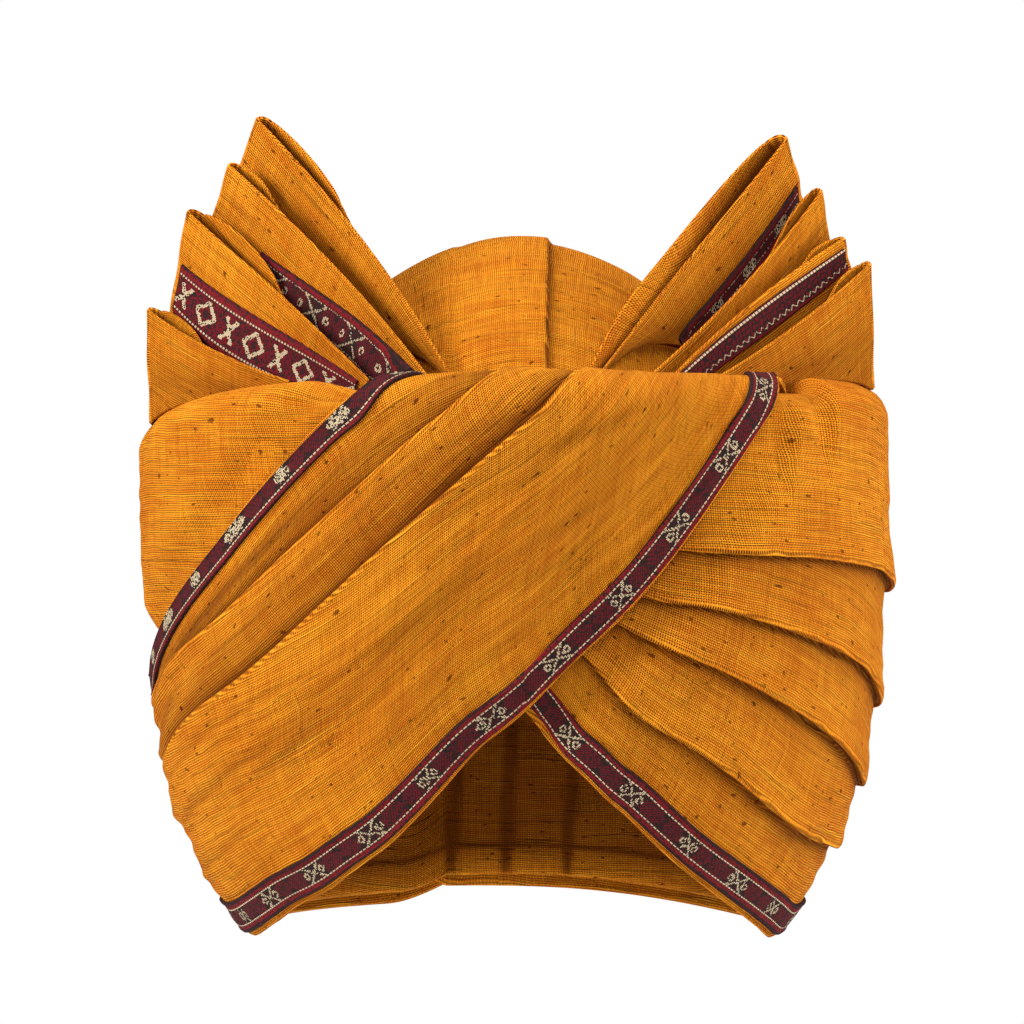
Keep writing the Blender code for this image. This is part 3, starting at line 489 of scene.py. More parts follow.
def cloth_section(path, offset, base, thickness, inner_rows):
    """The closed cross-section of a cloth: outer rows, a round lower edge, inner rows, a round upper edge."""
    half = 0.5 * thickness
    turns = np.radians([30.0, 90.0, 150.0])[None, :]
    pick = np.linspace(path.shape[1] - 1, 0, inner_rows).astype(int)
    paths = [path, path[:, -1:] + half * np.sin(turns), path[:, pick], path[:, :1] - half * np.sin(turns)]
    offsets = [
        offset,
        offset[:, -1:] - half + half * np.cos(turns),
        base[:, pick] - thickness,
        offset[:, :1] - half - half * np.cos(turns),
    ]
    return np.concatenate(paths, axis=1), np.concatenate(offsets, axis=1)


def unit(vectors):
    """Vectors scaled to length 1."""
    return vectors / (np.linalg.norm(vectors, axis=-1, keepdims=True) + 1e-15)


def level_path(angle, share):
    """The straight height below the crest at a share, in step with the path down the outside."""
    return top_z(angle) + RIM_DROP - WRAP_HEIGHT * share + (0.5 * math.pi - 1.0) * ROLL_RADIUS


def softened(line):
    """A line with its sharp turns taken out."""
    kernel = np.hanning(27)
    return np.convolve(np.pad(line, 13, mode="edge"), kernel / kernel.sum(), mode="valid")


def banded_uv(angles, paths, lines, breaks):
    """Lengths along and across a folded cloth. Below each break its threads run along the next line."""
    turn = np.radians(angles) * MEAN_RADIUS
    uv = np.zeros(paths.shape + (2,))
    for number, (line, start) in enumerate(zip(lines, breaks)):
        line = softened(line)
        bend = softened(np.arctan(np.gradient(line, turn)))[:, None]
        run = np.concatenate([[0.0], np.cumsum(np.hypot(np.diff(turn), np.diff(line)))])[:, None]
        away = paths - line[:, None]
        bend = bend * np.exp(-(away / 0.035) ** 2)
        band = np.stack([run + away * np.sin(bend), away * np.cos(bend) + 0.37 * number], axis=-1)
        uv = np.where((paths > start[:, None])[..., None], band, uv)
    return uv


def border_uv(points, middle, last):
    """Lengths along and across a border, from the middle row of its face, whose last row is given."""
    centre = points[:, middle]
    ahead = unit(np.gradient(centre, axis=0))[:, None]
    run = np.pad(np.cumsum(np.linalg.norm(np.diff(centre, axis=0), axis=-1)), (1, 0))[:, None]
    away = points - centre[:, None]
    along = (away * ahead).sum(axis=-1)
    side = (away * (points[:, last] - points[:, 0])[:, None]).sum(axis=-1)
    across = np.sqrt(np.maximum((away ** 2).sum(axis=-1) - along ** 2, 0.0)) * np.sign(side)
    return np.stack([run + along, across], axis=-1)


def grid_object(name, points, uv, ring=False, loop=False, caps=False, shade=None):
    """A mesh on a grid of points. ring joins the last station to the first, loop the last row to the first.
    uv has one station or row more than the points where they are joined."""
    stations, rows = points.shape[:2]
    i, j = np.meshgrid(np.arange(stations - (not ring)), np.arange(rows - (not loop)), indexing="ij")
    corners = ((i, j), (i, j + 1), (i + 1, j + 1), (i + 1, j))
    quads = np.stack([(a % stations) * rows + b % rows for a, b in corners], axis=-1).reshape(-1)
    places = np.stack([a * uv.shape[1] + b for a, b in corners], axis=-1).reshape(-1)
    starts = np.arange(0, len(quads), 4)
    if caps:
        first = np.arange(rows)
        last = (stations - 1) * rows + np.arange(rows)[::-1]
        starts = np.concatenate([starts, [len(quads), len(quads) + rows]])
        quads = np.concatenate([quads, first, last])
        places = np.concatenate([places, first, (stations - 1) * uv.shape[1] + np.arange(rows)[::-1]])
    mesh = bpy.data.meshes.new(name)
    mesh.vertices.add(stations * rows)
    mesh.vertices.foreach_set("co", points.astype(np.float32).reshape(-1))
    mesh.loops.add(len(quads))
    mesh.loops.foreach_set("vertex_index", quads.astype(np.int32))
    mesh.polygons.add(len(starts))
    mesh.polygons.foreach_set("loop_start", starts.astype(np.int32))
    mesh.polygons.foreach_set("use_smooth", np.ones(len(starts), dtype=bool))
    layer = mesh.uv_layers.new(name="cloth")
    layer.data.foreach_set("uv", uv.reshape(-1, 2)[places].astype(np.float32).reshape(-1))
    if shade is not None:
        layer = mesh.attributes.new("shade", "FLOAT", "POINT")
        layer.data.foreach_set("value", shade.astype(np.float32).reshape(-1))
    mesh.update(calc_edges=True)
    made = bpy.data.objects.new(name, mesh)
    bpy.context.scene.collection.objects.link(made)
    return made


def finish_piece(piece, node, material):
    """Give a piece its material, attach it to the root body and hide the CAD part that it stands for."""
    piece.data.materials.append(material)
    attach(piece, "root")
    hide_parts(node)
    return piece


class Value:
    """One output socket of a shader. Python's operators on it add Math nodes."""

    def __init__(self, shader, socket):
        self.shader = shader
        self.socket = socket

    def math(self, operation, *others):
        """A Math node on this value and others."""
        inputs = dict(enumerate((self,) + others))
        return self.shader.value("ShaderNodeMath", {"operation": operation}, inputs)

    def __add__(self, other):
        return self.math("ADD", other)

    __radd__ = __add__

    def __mul__(self, other):
        return self.math("MULTIPLY", other)

    __rmul__ = __mul__

    def __sub__(self, other):
        return self.math("SUBTRACT", other)

    def __rsub__(self, other):
        return self * -1.0 + other

    def __truediv__(self, other):
        return self.math("DIVIDE", other)

    def __lt__(self, other):
        return self.math("LESS_THAN", other)

    def __gt__(self, other):
        return self.math("GREATER_THAN", other)

    def __abs__(self):
        return self.math("ABSOLUTE")

    def smooth(self, low, high):
        """A smooth rise from 0 at low to 1 at high."""
        inputs = {"Value": self, "From Min": low, "From Max": high}
        return self.shader.value("ShaderNodeMapRange", {"interpolation_type": "SMOOTHSTEP"}, inputs)

    def cycle(self, period):
        """Where this value is in a repeat, from minus half a period to plus half."""
        return self.math("WRAP", 0.5 * period, -0.5 * period)


class Shader:
    """A material whose nodes are added by value."""

    def __init__(self, name, roughness):
        self.material = bpy.data.materials.new(name)
        self.material.use_nodes = True
        self.tree = self.material.node_tree
        self.surface = self.tree.nodes["Principled BSDF"]
        self.surface.inputs["Roughness"].default_value = roughness
        self.surface.inputs["Specular IOR Level"].default_value = 0.06

    def node(self, kind, settings, inputs):
        """Add a node with its settings and the values or links of its sockets."""
        made = self.tree.nodes.new(kind)
        for name, setting in settings.items():
            setattr(made, name, setting)
        for name, given in inputs.items():
            if isinstance(given, Value):
                self.tree.links.new(given.socket, made.inputs[name])
            else:
                made.inputs[name].default_value = given
        return made

    def value(self, kind, settings, inputs, output=0):
        """One output of a new node."""
        return Value(self, self.node(kind, settings, inputs).outputs[output])

    def uv(self):
        """The cloth's own lengths along and across."""
        return self.value("ShaderNodeUVMap", {"uv_map": "cloth"}, {})

    def parts(self, vector):
        """A vector's first two parts."""
        split = self.node("ShaderNodeSeparateXYZ", {}, {"Vector": vector})
        return Value(self, split.outputs[0]), Value(self, split.outputs[1])

    def vector(self, x, y):
        """A vector of two values."""
        return self.value("ShaderNodeCombineXYZ", {}, {"X": x, "Y": y})

    def noise(self, vector, scale, detail=2.0, roughness=0.5):
        """A noise from 0 to 1 on two coordinates."""
        inputs = {"Vector": vector, "Scale": scale, "Detail": detail, "Roughness": roughness}
        return self.value("ShaderNodeTexNoise", {"noise_dimensions": "2D"}, inputs)

    def blend(self, share, first, second):
        """A mix of two colours."""
        return self.value("ShaderNodeMix", {"data_type": "RGBA"}, {0: share, 6: first, 7: second}, 2)

    def finish(self, colour, height, distance):
        """Link the colour and the relief."""
        normal = self.value("ShaderNodeBump", {}, {"Height": height, "Distance": distance})
        self.tree.links.new(colour.socket, self.surface.inputs["Base Color"])
        self.tree.links.new(normal.socket, self.surface.inputs["Normal"])
        return self.material


def slub_cloth(name, sizes, colours):
    """Coarse plain weave: crossing threads of uneven thickness, with long slubs and small nubs, and painted
    shade from the shade attribute.
    """
    shader = Shader(name, 0.95)
    uv = shader.uv()
    along, across = shader.parts(uv)
    wobble = (shader.noise(uv, 90.0, 1.0) - 0.5) * 1.4
    u = along / sizes.thread + wobble
    v = across / sizes.thread + wobble * 0.7
    wave_u = (u * math.pi).math("SINE")
    wave_v = (v * math.pi).math("SINE")
    thread_u = abs(wave_u)
    thread_v = abs(wave_v)
    crossing = wave_u * wave_v
    gap = (1.0 - thread_u) * (1.0 - thread_v)
    long_threads = shader.noise(shader.vector(u * 0.030, v * 0.55), 1.0, 2.0, 0.6)
    cross_threads = shader.noise(shader.vector(u * 0.55, v * 0.030 + 31.0), 1.0, 2.0, 0.6)
    long_slub = shader.noise(shader.vector(u * 0.013 + 7.0, v * 0.70), 1.0, 1.0).smooth(0.63, 0.74)
    cross_slub = shader.noise(shader.vector(u * 0.60, v * 0.05 + 3.0), 1.0, 1.0).smooth(0.68, 0.80)
    nub = shader.noise(shader.vector(u * 0.16, v * 0.30), 1.0, 1.0).smooth(0.73, 0.84)
    patch = shader.noise(uv, 26.0, 4.0, 0.6)
    tone = (long_threads - 0.5) * 0.8 + (cross_threads - 0.5) * 0.6 + (patch - 0.5) * 0.75 + crossing * 0.18
    tone = tone + long_slub * 0.55 + cross_slub * 0.28 + 0.46
    colour = shader.blend(tone.smooth(0.0, 1.0), tuple(colours.cloth_dark), tuple(colours.cloth_light))
    # Painted shade: the shade attribute darkens the cloth towards the deep colour beside folds, below the
    # over wrap's edge, deep in the fans' leaves and inside the crown; the weave's gaps and the nubs darken it
    # too.
    shade = shader.value("ShaderNodeAttribute", {"attribute_name": "shade"}, {}, 2)
    thin = (1.0 - long_threads) * 0.9 + (1.0 - cross_threads) * 0.7
    dark = gap * (thin + 0.6) * 2.9 + shade * 0.9 + nub * 0.7
    colour = shader.blend(dark.math("MINIMUM", 1.0), colour, tuple(colours.cloth_nubs_and_shade))
    height = (thread_u + thread_v) * 0.55 + crossing * 0.2 + (long_threads + cross_threads) * 0.6
    height = height + long_slub * 2.2 + cross_slub * 1.3 + nub * 2.0
    return shader.finish(colour, height, 0.00024 * sizes.weave_depth)


def woven_border(name, pattern, width, colours):
    """Woven border in millimetres: x runs along it and y across it from its middle, in steps of a stitch."""
    repeat, clear, dash_sizes, red_sizes = BORDERS[pattern]
    shader = Shader(name, 0.85)
    metres_x, metres_y = shader.parts(shader.uv())
    x = metres_x * 1000.0
    y = metres_y * 1000.0
    stitch = BORDER_STITCH
    step_x = ((x / stitch).math("FLOOR") + 0.5) * stitch
    step_y = ((y / stitch).math("FLOOR") + 0.5) * stitch
    half = 500.0 * width
    bead = abs((x * (math.pi / stitch)).math("SINE")) * abs((y * (math.pi / stitch)).math("SINE"))
    cells = {"Vector": shader.vector(step_x, step_y)}
    fleck = shader.value("ShaderNodeTexWhiteNoise", {"noise_dimensions": "2D"}, cells)
    wear = shader.noise(shader.vector(x, y), 0.9, 2.0)
    hatch = (abs((x + y).cycle(1.05)) < 0.29) * (abs((x - y).cycle(1.7)) < 0.70)
    if pattern == "turned":
        edge = half - y
        from_middle = abs(step_y + 1.2)
        field = 2.1
    else:
        edge = half - abs(y)
        from_middle = abs(step_y)
        field = half - 2.0
    dash_edge = edge
    red_edge = edge
    if pattern in ("border", "turned", "narrow"):
        shift = (shader.noise(shader.vector(metres_x * 40.0, 0.0), 1.0, 0.0) - 0.5) * 9.0
        shift = (shift / stitch).math("FLOOR") * stitch
        cross = abs((step_x + shift).cycle(repeat))
        arms = (abs(cross - from_middle * 1.2) < 0.56) * (from_middle < field + 0.1)
        eye_x = cross - field * 1.35
        eye = (eye_x * eye_x + from_middle * from_middle).math("SQRT")
        motif = arms.math("MAXIMUM", abs(eye - 0.85) < 0.34) * (abs(x.cycle(0.80)) < 0.31)
        lozenge_x = abs((step_x + shift + 0.5 * repeat).cycle(repeat))
        place = (lozenge_x - 0.176 * repeat) / (0.172 * repeat)
        ring = abs(place) * 0.92 + from_middle / (field * 2.0)
        lozenge = ring < 1.0
        core = lozenge * (1.0 - hatch)
        if pattern == "turned":
            cluster = (cross * 0.5 + from_middle) < 2.2
            motif = motif.math("MAXIMUM", cluster * (fleck > 0.45))
    elif pattern == "lozenge":
        cross = abs(step_x.cycle(repeat))
        ring = cross / 5.2 + from_middle / 4.6
        motif = (abs(ring - 0.76) < 0.17) * (from_middle < 3.9)
        other = abs((step_x + 0.5 * repeat).cycle(repeat))
        arms = (abs(other - from_middle * 0.70) < 0.85) * (from_middle < 3.2)
        motif = motif.math("MAXIMUM", arms)
        lozenge = (ring < 0.5).math("MAXIMUM", (other / 3.4 + abs(from_middle - 3.0) / 1.6) < 1.0)
        core = ring < 0.30
    else:
        lean_x = abs((step_x + step_y).cycle(repeat))
        lean_y = abs((step_x - step_y).cycle(repeat))
        lozenge = ((lean_x > 0.7) * (lean_y > 0.7)).math("MAXIMUM", (lean_x + lean_y) < 1.0)
        core = (lean_x < 0.5) * (lean_y > 0.9)
        loops = (x * 2.1).math("SINE") * 0.45
        motif = (abs(half - y - 1.95 + loops) < 0.20) * (y > 0.0)
        dash_edge = half + y
        red_edge = half - y
    dash_period, dash_reach, dash_place, dash_half, dash_worn = dash_sizes
    dashes = (abs(x.cycle(dash_period)) < dash_reach) * (abs(dash_edge - dash_place) < dash_half)
    dashes = dashes * (fleck > dash_worn)
    red_line = (red_edge > red_sizes[0]) * (red_edge < red_sizes[1]) * (fleck > red_sizes[2])
    black = tuple(colours.black)
    base = (fleck > 0.45) if pattern == "lozenge" else (fleck > 0.78) * 0.5
    colour = shader.blend(base, black, tuple(colours.maroon))
    colour = shader.blend(lozenge * (fleck > 0.20), colour, tuple(colours.maroon))
    colour = shader.blend(core * (fleck > 0.15) * 0.85, colour, black)
    colour = shader.blend(red_line * ((fleck > 0.18) * 0.85 + 0.15), colour, tuple(colours.red))
    light = motif * (fleck > 0.15) * (bead > 0.10) * (edge > clear)
    light = light.math("MAXIMUM", dashes)
    colour = shader.blend(light * (wear.smooth(0.25, 0.55) * 0.3 + 0.7), colour, tuple(colours.cream))
    # Darker towards each stitch's edges: the dark joints between stitches and painted shade on their round
    # sides.
    colour = shader.blend((1.0 - bead) * 0.38, colour, black)
    height = bead * 0.7 + light * 0.9 + lozenge * 0.3 + fleck * 0.3
    return shader.finish(colour, height, 0.00022)


def cloth_material(kind):
    """The cloth's material, made once."""
    name = "slub_cloth_" + kind
    found = bpy.data.materials.get(name)
    scene = bpy.context.scene
    return found or slub_cloth(name, scene.turban_sizes, scene.turban_colours)


def border_material(pattern, width):
    """A border's material, made once for each pattern and width."""
    name = f"woven_{pattern}_{width * 10000:.0f}"
    found = bpy.data.materials.get(name)
    return found or woven_border(name, pattern, width, bpy.context.scene.turban_colours)


def under_lie(angle, path, sizes):
    """The under wrap's relief, its overlaps, its shade and how far the over wrap presses it in."""
    apart = outside(angle, path)
    covered = cover(angle, path)
    relief, push, shade = pleat_shape(angle, path, sizes)
    along = np.radians(angle) * WAVE_RADIUS
    soft = 0.9 * sizes.unevenness * waves(along, path, 0.26, 0.030, 3)
    soft = soft + 0.4 * sizes.unevenness * waves(along, path, 0.10, 0.010, 4)
    soft = soft * smoothstep(0.0, 14.0, 180.0 - np.abs(angle - SEAM_ANGLE - 180.0))
    least = 0.22
    beside = least + (1.0 - least) * smoothstep(0.0, 0.010, apart)
    shown = np.where(apart > 0.0, beside, least * smoothstep(0.006, 0.0, -apart))
    relief = relief * shown + soft * smoothstep(-0.03, 0.0, path) * (1.0 - covered)
    # Painted shade below the pleats, and a painted shadow on the under wrap just below the over wrap's lower
    # edge.
    shade = shade * smoothstep(-0.001, 0.001, apart) + 0.5 * np.exp(-np.maximum(apart, 0.0) / 0.0028)
    return relief, push * shown, np.minimum(shade, 1.0), -OVER_LIFT * covered


def make_wrap(node, angles, path, lie, bands, inner_rows, ring):
    """A wrap's closed cloth on rows of paths. lie is its relief, its overlaps, its shade and its base."""
    relief, push, shade, base = lie
    base = base + 0.5 * WRAP_CLOTH
    rows = path.shape[1]
    paths, offsets = cloth_section(path + push, relief + base, base, WRAP_CLOTH, inner_rows)
    points = wrap_point(angles[:, None], paths, offsets)
    shades = np.zeros(points.shape[:2])
    shades[:, :rows] = shade
    paths[:, :rows] = path
    uv = banded_uv(angles, np.concatenate([paths, paths[:, :1]], axis=1), *bands)
    if ring:
        points = points[:-1]
        shades = shades[:-1]
    piece = grid_object(node + "_cloth", points, uv, ring=ring, loop=True, caps=not ring, shade=shades)
    return finish_piece(piece, node, cloth_material("wrap"))


def make_under_wrap(sizes):
    """The pleated ring, from the groove over the crest and down to its edge."""
    angles = np.linspace(SEAM_ANGLE, SEAM_ANGLE + 360.0, WRAP_STATIONS + 1)
    lower = under_lower(angles)
    inner = -ROLL_INNER_TURN * ROLL_RADIUS
    knots = [np.full_like(angles, place) for place in (inner - SHELF_LENGTH, inner, 0.014)]
    counts = [6, 18]
    lines = []
    breaks = [np.full_like(angles, -1.0)]
    for number in range(1, 5):
        edge = pleat_edge(angles, number)
        edge = np.minimum(edge, lower - 0.008 * (5 - number) - 0.008)
        knots += [edge - 0.7 * sizes.lip, edge + 0.7 * sizes.lip]
        counts += [14, 12]
        lines.append(level_path(angles, curve(PLEATS, f"pleat_{number}", angles)))
        breaks.append(edge + 0.25 * sizes.lip)
    lines.append(level_path(angles, curve(UNDER_LOWER_EDGE, "height", angles)))
    knots.append(lower)
    counts += [28]
    path = rows_between(knots, counts)
    relief, push, shade, base = under_lie(angles[:, None], path, sizes)
    relief = relief * smoothstep(0.0, 0.008, lower[:, None] - path)
    return make_wrap("under_wrap", angles, path, (relief, push, shade, base), (lines, breaks), 14, True)


def end_sink(angle):
    """How far the over wrap's two ends sink in between the layers of the under wrap."""
    first = smoothstep(OVER_SPAN[0] + 4.0, OVER_SPAN[0], angle)
    return -END_SINK * (first + smoothstep(OVER_SPAN[1] - 4.5, OVER_SPAN[1], angle))


def make_over_wrap(sizes):
    """The wide strip across the front, tucked over the crest at both ends."""
    angles = np.linspace(*OVER_SPAN, WRAP_STATIONS)
    upper, lower = over_upper(angles), over_lower(angles)
    knots = [upper]
    counts = []
    lines = [level_path(angles, curve(OVER_EDGES, "upper", angles))]
    breaks = [np.full_like(angles, -1.0)]
    for number in (1, 2):
        edge = np.clip(crease_edge(angles, number), upper + 0.004 * number, lower - 0.010 + 0.003 * number)
        knots += [edge - 0.7 * sizes.lip, edge + 0.7 * sizes.lip]
        counts += [44, 12]
        lines.append(level_path(angles, curve(FOLDS, "crease_2", angles)))
        breaks.append(edge - 0.25 * sizes.lip)
    lines[2] = level_path(angles, curve(OVER_EDGES, "lower", angles))
    knots.append(lower)
    counts.append(62)
    path = rows_between(knots, counts)
    relief, push, shade = fold_shape(angles[:, None], path, sizes)
    lie = (relief, push, np.minimum(shade, 1.0), end_sink(angles[:, None]) + 0.0 * path)
    return make_wrap("over_wrap", angles, path, lie, (lines, breaks), 12, False)


def make_wrap_trim(node, span, edge, width, side, lie, sizes):
    """A border along a wrap's edge: a flat band with a round bead along each side. Its rows follow the
    softened edge at shares of its width, and lie on the cloth's own relief."""
    angles = np.linspace(*span, 560)
    stretch = softened(np.minimum(slant(angles, edge), 1.9))[:, None]
    # share is how far across the border each row is, and bead is its height as a share of the thickness
    share = np.array([0.0, 0.0, 0.03, 0.07, 0.12, 0.2, 0.35, 0.5, 0.65, 0.8, 0.88, 0.93, 0.97, 1.0, 1.0])
    bead = np.array([0.15, 0.7, 1.05, 1.1, 0.85, 0.8, 0.85, 0.9, 0.85, 0.8, 0.85, 1.1, 1.05, 0.7, 0.15])
    if side < 0.0:
        share = share - 1.0
    path = softened(edge(angles))[:, None] + (side * sizes.selvage + width * share[None, :]) * stretch
    angle = angles[:, None]
    relief = lie(angle, path)
    ends = smoothstep(0.0, 1.6, np.minimum(angle - span[0], span[1] - angle))
    top = relief + 0.5 * WRAP_CLOTH + TRIM_LIFT + TRIM_THICKNESS * bead[None, :] * ends
    under = relief[:, ::-1][:, 1:-1:4] + 0.5 * WRAP_CLOTH + TRIM_UNDERSIDE
    paths = np.concatenate([path, path[:, ::-1][:, 1:-1:4]], axis=1)
    points = wrap_point(angle, paths, np.concatenate([top, under], axis=1))
    flat = border_uv(points, 7, 14)
    uv = np.concatenate([flat, flat[:, :1]], axis=1)
    piece = grid_object(node + "_band", points, uv, loop=True, caps=True)
    pattern = "turned" if side > 0.0 else "border"
    return finish_piece(piece, node, border_material(pattern, width))


def crown_relief(points):
    """The crown's pleat beside the middle, a faint second fold, and the folds down the back wall. Each is
    a smooth step on one side and a slow slope back on the other."""
    x, y, z = points[..., 0], points[..., 1], points[..., 2]
    seam = CROWN_PLEAT_OFFSET + 0.03 * (z + 0.02)
    beside = smoothstep(0.0006, -0.0006, x - seam) * smoothstep(-CROWN_PLEAT_REACH, 0.0, x - seam)
    high = smoothstep(-0.070, -0.040, z) * smoothstep(0.050, 0.010, y)
    relief = CROWN_PLEAT_HEIGHT * beside * high
    faint = smoothstep(0.001, -0.001, x + 0.018 - 0.04 * (z + 0.02))
    relief = relief + 0.0006 * faint * smoothstep(-0.05, 0.0, x + 0.018) * high
    low = smoothstep(-0.105, -0.125, z) * smoothstep(0.0, 0.05, y)
    # Painted shade beside the pleat and along the folds of the wall.
    shade = high * np.exp(-(np.maximum(x - seam, 0.0) / 0.0012)) * (x > seam - 0.0004)
    for place, step in WALL_FOLDS:
        lean = place + 0.05 * (z + 0.16)
        relief = relief - step * low * smoothstep(-0.0015, 0.0015, x - lean) * smoothstep(0.02, 0.0, x - lean)
        shade = shade + 0.8 * low * np.exp(-((x - lean + 0.001) / 0.0016) ** 2)
    return relief, shade


def make_crown():
    """The dome over the head and the inner wall below it, with a hem along its edge: ellipses of the cap's
    radii at every height, pushed out along the surface's normal by the folds' relief."""
    angles = np.linspace(-180.0, 180.0, CROWN_STATIONS + 1)[:, None]
    turns = np.linspace(0.012, 0.5 * math.pi, 90)[None, :]
    dome = CAP_DOME_HEIGHT * (np.cos(turns) - 1.0) + 0.0 * angles
    edge_z = base_z(angles) + CAP_EDGE_LIFT
    share = np.linspace(0.0, 1.0, 70)[None, 1:]
    wall = -CAP_DOME_HEIGHT + (edge_z + CAP_DOME_HEIGHT) * share
    z = np.concatenate([dome, wall], axis=1)
    half_width, half_depth = cap_radii(z)
    radians = np.radians(angles)
    points = np.stack([half_width * np.sin(radians), -half_depth * np.cos(radians), z], axis=-1)
    ahead = np.gradient(points, axis=0)
    ahead[0] = ahead[-1] = points[1] - points[-2]
    normals = unit(np.cross(np.gradient(points, axis=1), ahead))
    relief, shade = crown_relief(points)
    spot = 0.0004 * waves(points[..., 0], points[..., 1] + points[..., 2], 0.05, 0.03, 11)
    hem = HEM_STEP * (smoothstep(0.0, 0.0006, points[..., 2] - edge_z - HEM_DEPTH) - 1.0)
    stitch = np.exp(-((points[..., 2] - edge_z - HEM_DEPTH - 0.0003) / 0.0005) ** 2)
    middle = points + normals * (relief + spot)[..., None]
    middle[..., 2] += 0.5 * CAP_CLOTH
    outer = middle + 0.5 * CAP_CLOTH * normals
    inner = middle - (0.5 * CAP_CLOTH - hem)[..., None] * normals
    edge = 0.5 * (outer[:, -1:] + inner[:, -1:]) - np.array([0.0, 0.0, 0.0009])
    points = np.concatenate([outer, edge, inner[:, ::-1]], axis=1)
    # Painted shade inside the crown's wall, darker away from its lower edge, with the folds' painted shade
    # and a dark stitch line along the hem.
    inside = INSIDE_SHADE * smoothstep(0.0, 0.012, outer[..., 2] - edge_z) + shade + 0.5 * stitch
    shade = np.concatenate([shade, 0.0 * shade[:, -1:], np.minimum(inside, 1.0)[:, ::-1]], axis=1)
    steps = np.linalg.norm(np.diff(points, axis=1), axis=-1)
    reach = np.pad(np.cumsum(steps, axis=1), ((0, 0), (1, 0)))
    on_dome = (points[..., 2] > DOME_CLOTH_Z)[..., None]
    out = (points[..., 0] / CAP_HALF_WIDTH) ** 2 + (points[..., 1] / CAP_HALF_DEPTH) ** 2
    flat = points[..., :2] * (1.0 + 0.9 * out)[..., None] ** 0.5
    mean_radius = 0.5 * (CAP_HALF_WIDTH + CAP_HALF_DEPTH)
    round_uv = np.stack([0.0 * reach + radians * mean_radius, reach], axis=-1)
    uv = np.where(on_dome, flat, round_uv)
    piece = grid_object("crown_cloth", points[:-1], uv, ring=True, shade=shade[:-1])
    last = points.shape[1] - 1
    for row in (0, last):
        close_pole(piece.data, last + 1, row, points[:, row].mean(axis=0))
    return finish_piece(piece, "crown_cap", cloth_material("wrap"))


def close_pole(mesh, rows, row, centre):
    """Draw a row's ring of vertices together at a pole, so that the tiny hole is closed."""
    ring = np.arange(CROWN_STATIONS) * rows + row
    places = np.zeros(len(mesh.vertices) * 3, dtype=np.float32)
    mesh.vertices.foreach_get("co", places)
    places = places.reshape(-1, 3)
    places[ring] = centre
    mesh.vertices.foreach_set("co", places.reshape(-1))
    mesh.update()


def bezier(start, middle, end, share):
    """A quadratic curve that passes through its middle point at half way."""
    handle = 2.0 * middle - 0.5 * (start + end)
    share = share[..., None]
    return (1.0 - share) ** 2 * start + 2.0 * share * (1.0 - share) * handle + share ** 2 * end


def dome_z(x, y):
    """The height of the cap's outer face over a place: sqrt(1 - x^2 - y^2) in shares of its half sizes."""
    inside = 1.0 - (x / CAP_HALF_WIDTH) ** 2 - (y / CAP_HALF_DEPTH) ** 2
    return CAP_DOME_HEIGHT * (np.sqrt(np.maximum(inside, 0.0)) - 1.0) + CAP_CLOTH + CROWN_PLEAT_HEIGHT


def band_z(x, y):
    """The height of the band's cloth over places: its groove, or its crest further out."""
    groove = -ROLL_INNER_TURN * ROLL_RADIUS - SHELF_LENGTH
    paths = np.linspace(groove, 0.4 * math.pi * ROLL_RADIUS, 90)[None, :]
    angle = np.degrees(np.arctan2(x / (CAP_HALF_WIDTH + BULGE_SIDE), -y / (CAP_HALF_DEPTH + BULGE_FRONT)))
    width, depth, z = wrap_profile(angle[:, None], paths)
    apart = outside(angle[:, None], paths)
    z = z - OVER_LIFT * cover(angle[:, None], paths) * smoothstep(0.0, 0.002, apart)
    reach = (x[:, None] / width) ** 2 + (y[:, None] / depth) ** 2
    first = np.argmax(reach < 1.0, axis=1)
    last = z[np.arange(len(x)), first]
    return np.where((reach < 1.0).any(axis=1), last, z[:, -1]) + 0.5 * WRAP_CLOTH


def leaf_edges(rows, side, leaf, along):
    """A leaf's top edge and low edge. A leaf stands upright on a slanting line seen from above.
    Its low edge is kept above the crown and the groove, and hidden is the whole height over what shows."""
    value = {name: column[leaf] for name, column in rows.items()}
    base = np.array([value["base_out"], 0.0])
    tip = np.array([value["tip_out"], value["tip_up"]])
    foot = np.array([value["foot_out"], value["foot_up"]])
    root = np.array([value["root_out"], value["root_up"]])
    low_middle = np.array([value["mid_out"], value["mid_up"]])
    chord = tip - base
    top_middle = 0.5 * (base + tip) + value["bow"] * np.array([-chord[1], chord[0]])
    edges = []
    for start, middle, end in ((base, top_middle, tip), (root, low_middle, foot)):
        share = bezier(start, middle, end, along)
        x = side * (FAN_ROOT_X + FAN_REACH * share[..., 0])
        place = (share[..., 0] - base[0]) / (tip[0] - base[0])
        y = FAN_FRONT_Y + FAN_LEAN * (value["base_back"] + (value["tip_back"] - value["base_back"]) * place)
        edges.append(np.stack([x, y, TOP_Z + FAN_RISE * share[..., 1]], axis=-1))
    top, low = edges
    near = 0.5 * (layer_gap(value, along) + FAN_CLOTH)
    rest = np.full(len(along), -1.0)
    for ahead in (-1.0, 0.0, 1.0):
        for beside in (-1.0, 0.0, 1.0):
            rest = np.maximum(rest, dome_z(low[:, 0] + near * beside, low[:, 1] + near * ahead))
        rest = np.maximum(rest, band_z(low[:, 0], low[:, 1] + (near + FAN_SEAT_REACH) * ahead))
    full = top[:, 2] - low[:, 2]
    low[..., 2] = np.maximum(low[..., 2], rest + FAN_SEAT_GAP)
    least = 0.003
    value["hidden"] = np.maximum(full / np.maximum(top[:, 2] - low[:, 2], least), 1.0)
    return top, low, value


